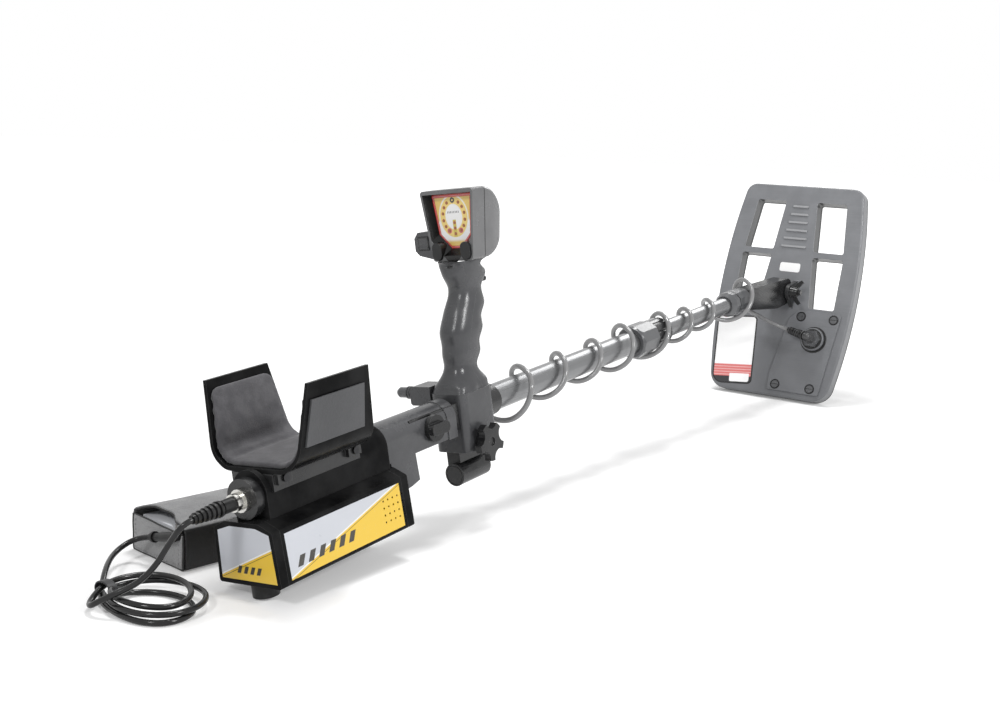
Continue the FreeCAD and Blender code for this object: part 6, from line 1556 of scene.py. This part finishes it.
class DETECTOR_OT_lead(bpy.types.Operator):
    """Lay the battery lead with its tied hank"""

    bl_idname = "detector.lead"
    bl_label = "Battery lead"

    def execute(self, context):
        diameter = context.scene.detector_sizes.lead
        colour = darker(context.scene.detector_colours.cord, 0.94)
        jacket = jacketed("lead_jacket", colour, 0.14, 0.3)
        cord, line = cord_tube("battery_lead_cord", lead_route(), diameter, jacket)
        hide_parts("battery_lead", "lead_loops")
        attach(cord, "detector")
        return {"FINISHED"}


# The camera's place, its turn in degrees and its lens in millimetres.
CAMERA_AT = (0.74752, -1.30238, 0.38932)
CAMERA_TURN = (79.7258, -2.4216, 34.5304)
CAMERA_LENS = 45.1342
FLOOR_WIDE = 30.0
ROOM_LIGHT = 0.36
# Each lamp's name, its place, the point that it aims at, its width and its power.
LAMPS = (("top_lamp", (-0.3, 0.3, 2.6), (0.0, 0.0, 0.1), 0.6, 34.0),
         ("side_lamp", (2.3, -0.3, 1.5), (0.0, -0.1, 0.1), 0.5, 33.0),
         ("rear_lamp", (0.2, -2.6, 1.9), (0.0, -0.2, 0.1), 0.4, 21.0),
         ("front_lamp", (-0.5, 2.8, 2.0), (0.0, 0.0, 0.1), 1.2, 24.0))


def seen_directly(tree):
    """1 for what is seen by itself, in a gloss or through glass, and 0 for light on the object."""
    path = add(tree, "LightPath").outputs
    seen = maths(tree, "MAXIMUM", path["Is Camera Ray"], path["Is Glossy Ray"])
    return maths(tree, "MAXIMUM", seen, path["Is Transmission Ray"])


def floor_paint():
    """Pale matt paint that glows white where it is seen by itself, most of all far off."""
    material, tree, shader = new_material("floor_paint")
    place = object_space(tree)
    grain = speckle(tree, place, 60.0, 2.0)
    far = vector_maths(tree, "LENGTH", place)["Value"]
    glow = product(tree, seen_directly(tree), ramp(tree, far, 0.9, 3.0, 0.2, 1.0))
    feed(tree, shader, Base_Color=mixed(tree, grain, (0.86, 0.86, 0.86), (0.88, 0.88, 0.88)),
         Roughness=0.9, Specular_IOR_Level=0.0, Emission_Color=(1, 1, 1, 1), Emission_Strength=glow)
    return material


def soft_room():
    """A world that is white where it is seen by itself, and dimmer as light on the object."""
    world = bpy.data.worlds.new("soft_room")
    world.use_nodes = True
    tree = world.node_tree
    feed(tree, tree.nodes["Background"], Color=(1, 1, 1, 1),
         Strength=mixed_values(tree, seen_directly(tree), ROOM_LIGHT, 1.0))
    return world


def lamp_at(name, place, aim, width, power):
    """A square lamp that aims at a point."""
    bpy.ops.object.light_add(type="AREA", location=place)
    lamp = bpy.context.object
    lamp.name = name
    lamp.rotation_euler = (Vector(aim) - Vector(place)).to_track_quat("-Z", "Y").to_euler()
    lamp.data.shape = "SQUARE"
    lamp.data.size = width
    lamp.data.energy = power
    return lamp


class DETECTOR_OT_stage(bpy.types.Operator):
    """Set up the camera, the soft light and the pale floor"""

    bl_idname = "detector.stage"
    bl_label = "Stage"

    def execute(self, context):
        scene = context.scene
        deselect()
        bpy.ops.object.camera_add(location=CAMERA_AT,
                                  rotation=[math.radians(angle) for angle in CAMERA_TURN])
        camera = context.object
        camera.name = "camera"
        camera.data.lens = CAMERA_LENS
        camera.data.sensor_width = 36.0
        camera.data.clip_end = 2 * FLOOR_WIDE
        scene.camera = camera
        bpy.ops.mesh.primitive_plane_add(size=FLOOR_WIDE, location=(0.0, 0.0, 0.0))
        floor = context.object
        floor.name = "floor"
        floor.data.materials.append(floor_paint())
        lamps = [lamp_at(*settings) for settings in LAMPS]
        scene.world = soft_room()
        scene.view_settings.view_transform = "Standard"
        return {"FINISHED"}


class DETECTOR_PT_panel(bpy.types.Panel):
    """Lists the detector's pieces in the sidebar"""

    bl_label = "Metal Detector"
    bl_idname = "DETECTOR_PT_panel"
    bl_space_type = "VIEW_3D"
    bl_region_type = "UI"
    bl_category = "Detector"

    def draw(self, context):
        for settings in (context.scene.detector_colours, context.scene.detector_sizes):
            for name in settings.bl_rna.properties.keys():
                if name not in ("rna_type", "name"):
                    self.layout.prop(settings, name)
        for operator in OPERATORS:
            self.layout.operator(operator.bl_idname)


OPERATORS = [DETECTOR_OT_finishes, DETECTOR_OT_cable, DETECTOR_OT_lead, DETECTOR_OT_tie,
             DETECTOR_OT_pouch, DETECTOR_OT_pad, DETECTOR_OT_labels, DETECTOR_OT_stage]
CLASSES = [DetectorColours, DetectorSizes, *OPERATORS, DETECTOR_PT_panel]


def register():
    """Add the settings, the operators and the panel."""
    for cls in CLASSES:
        bpy.utils.register_class(cls)
    bpy.types.Scene.detector_colours = bpy.props.PointerProperty(type=DetectorColours)
    bpy.types.Scene.detector_sizes = bpy.props.PointerProperty(type=DetectorSizes)


def unregister():
    """Take the settings, the operators and the panel away."""
    del bpy.types.Scene.detector_sizes
    del bpy.types.Scene.detector_colours
    for cls in reversed(CLASSES):
        bpy.utils.unregister_class(cls)


def main():
    """Make every piece in its turn."""
    register()
    for operator in OPERATORS:
        group, name = operator.bl_idname.split(".")
        getattr(getattr(bpy.ops, group), name)()
    bpy.context.view_layer.update()


if __name__ == "__main__":
    main()
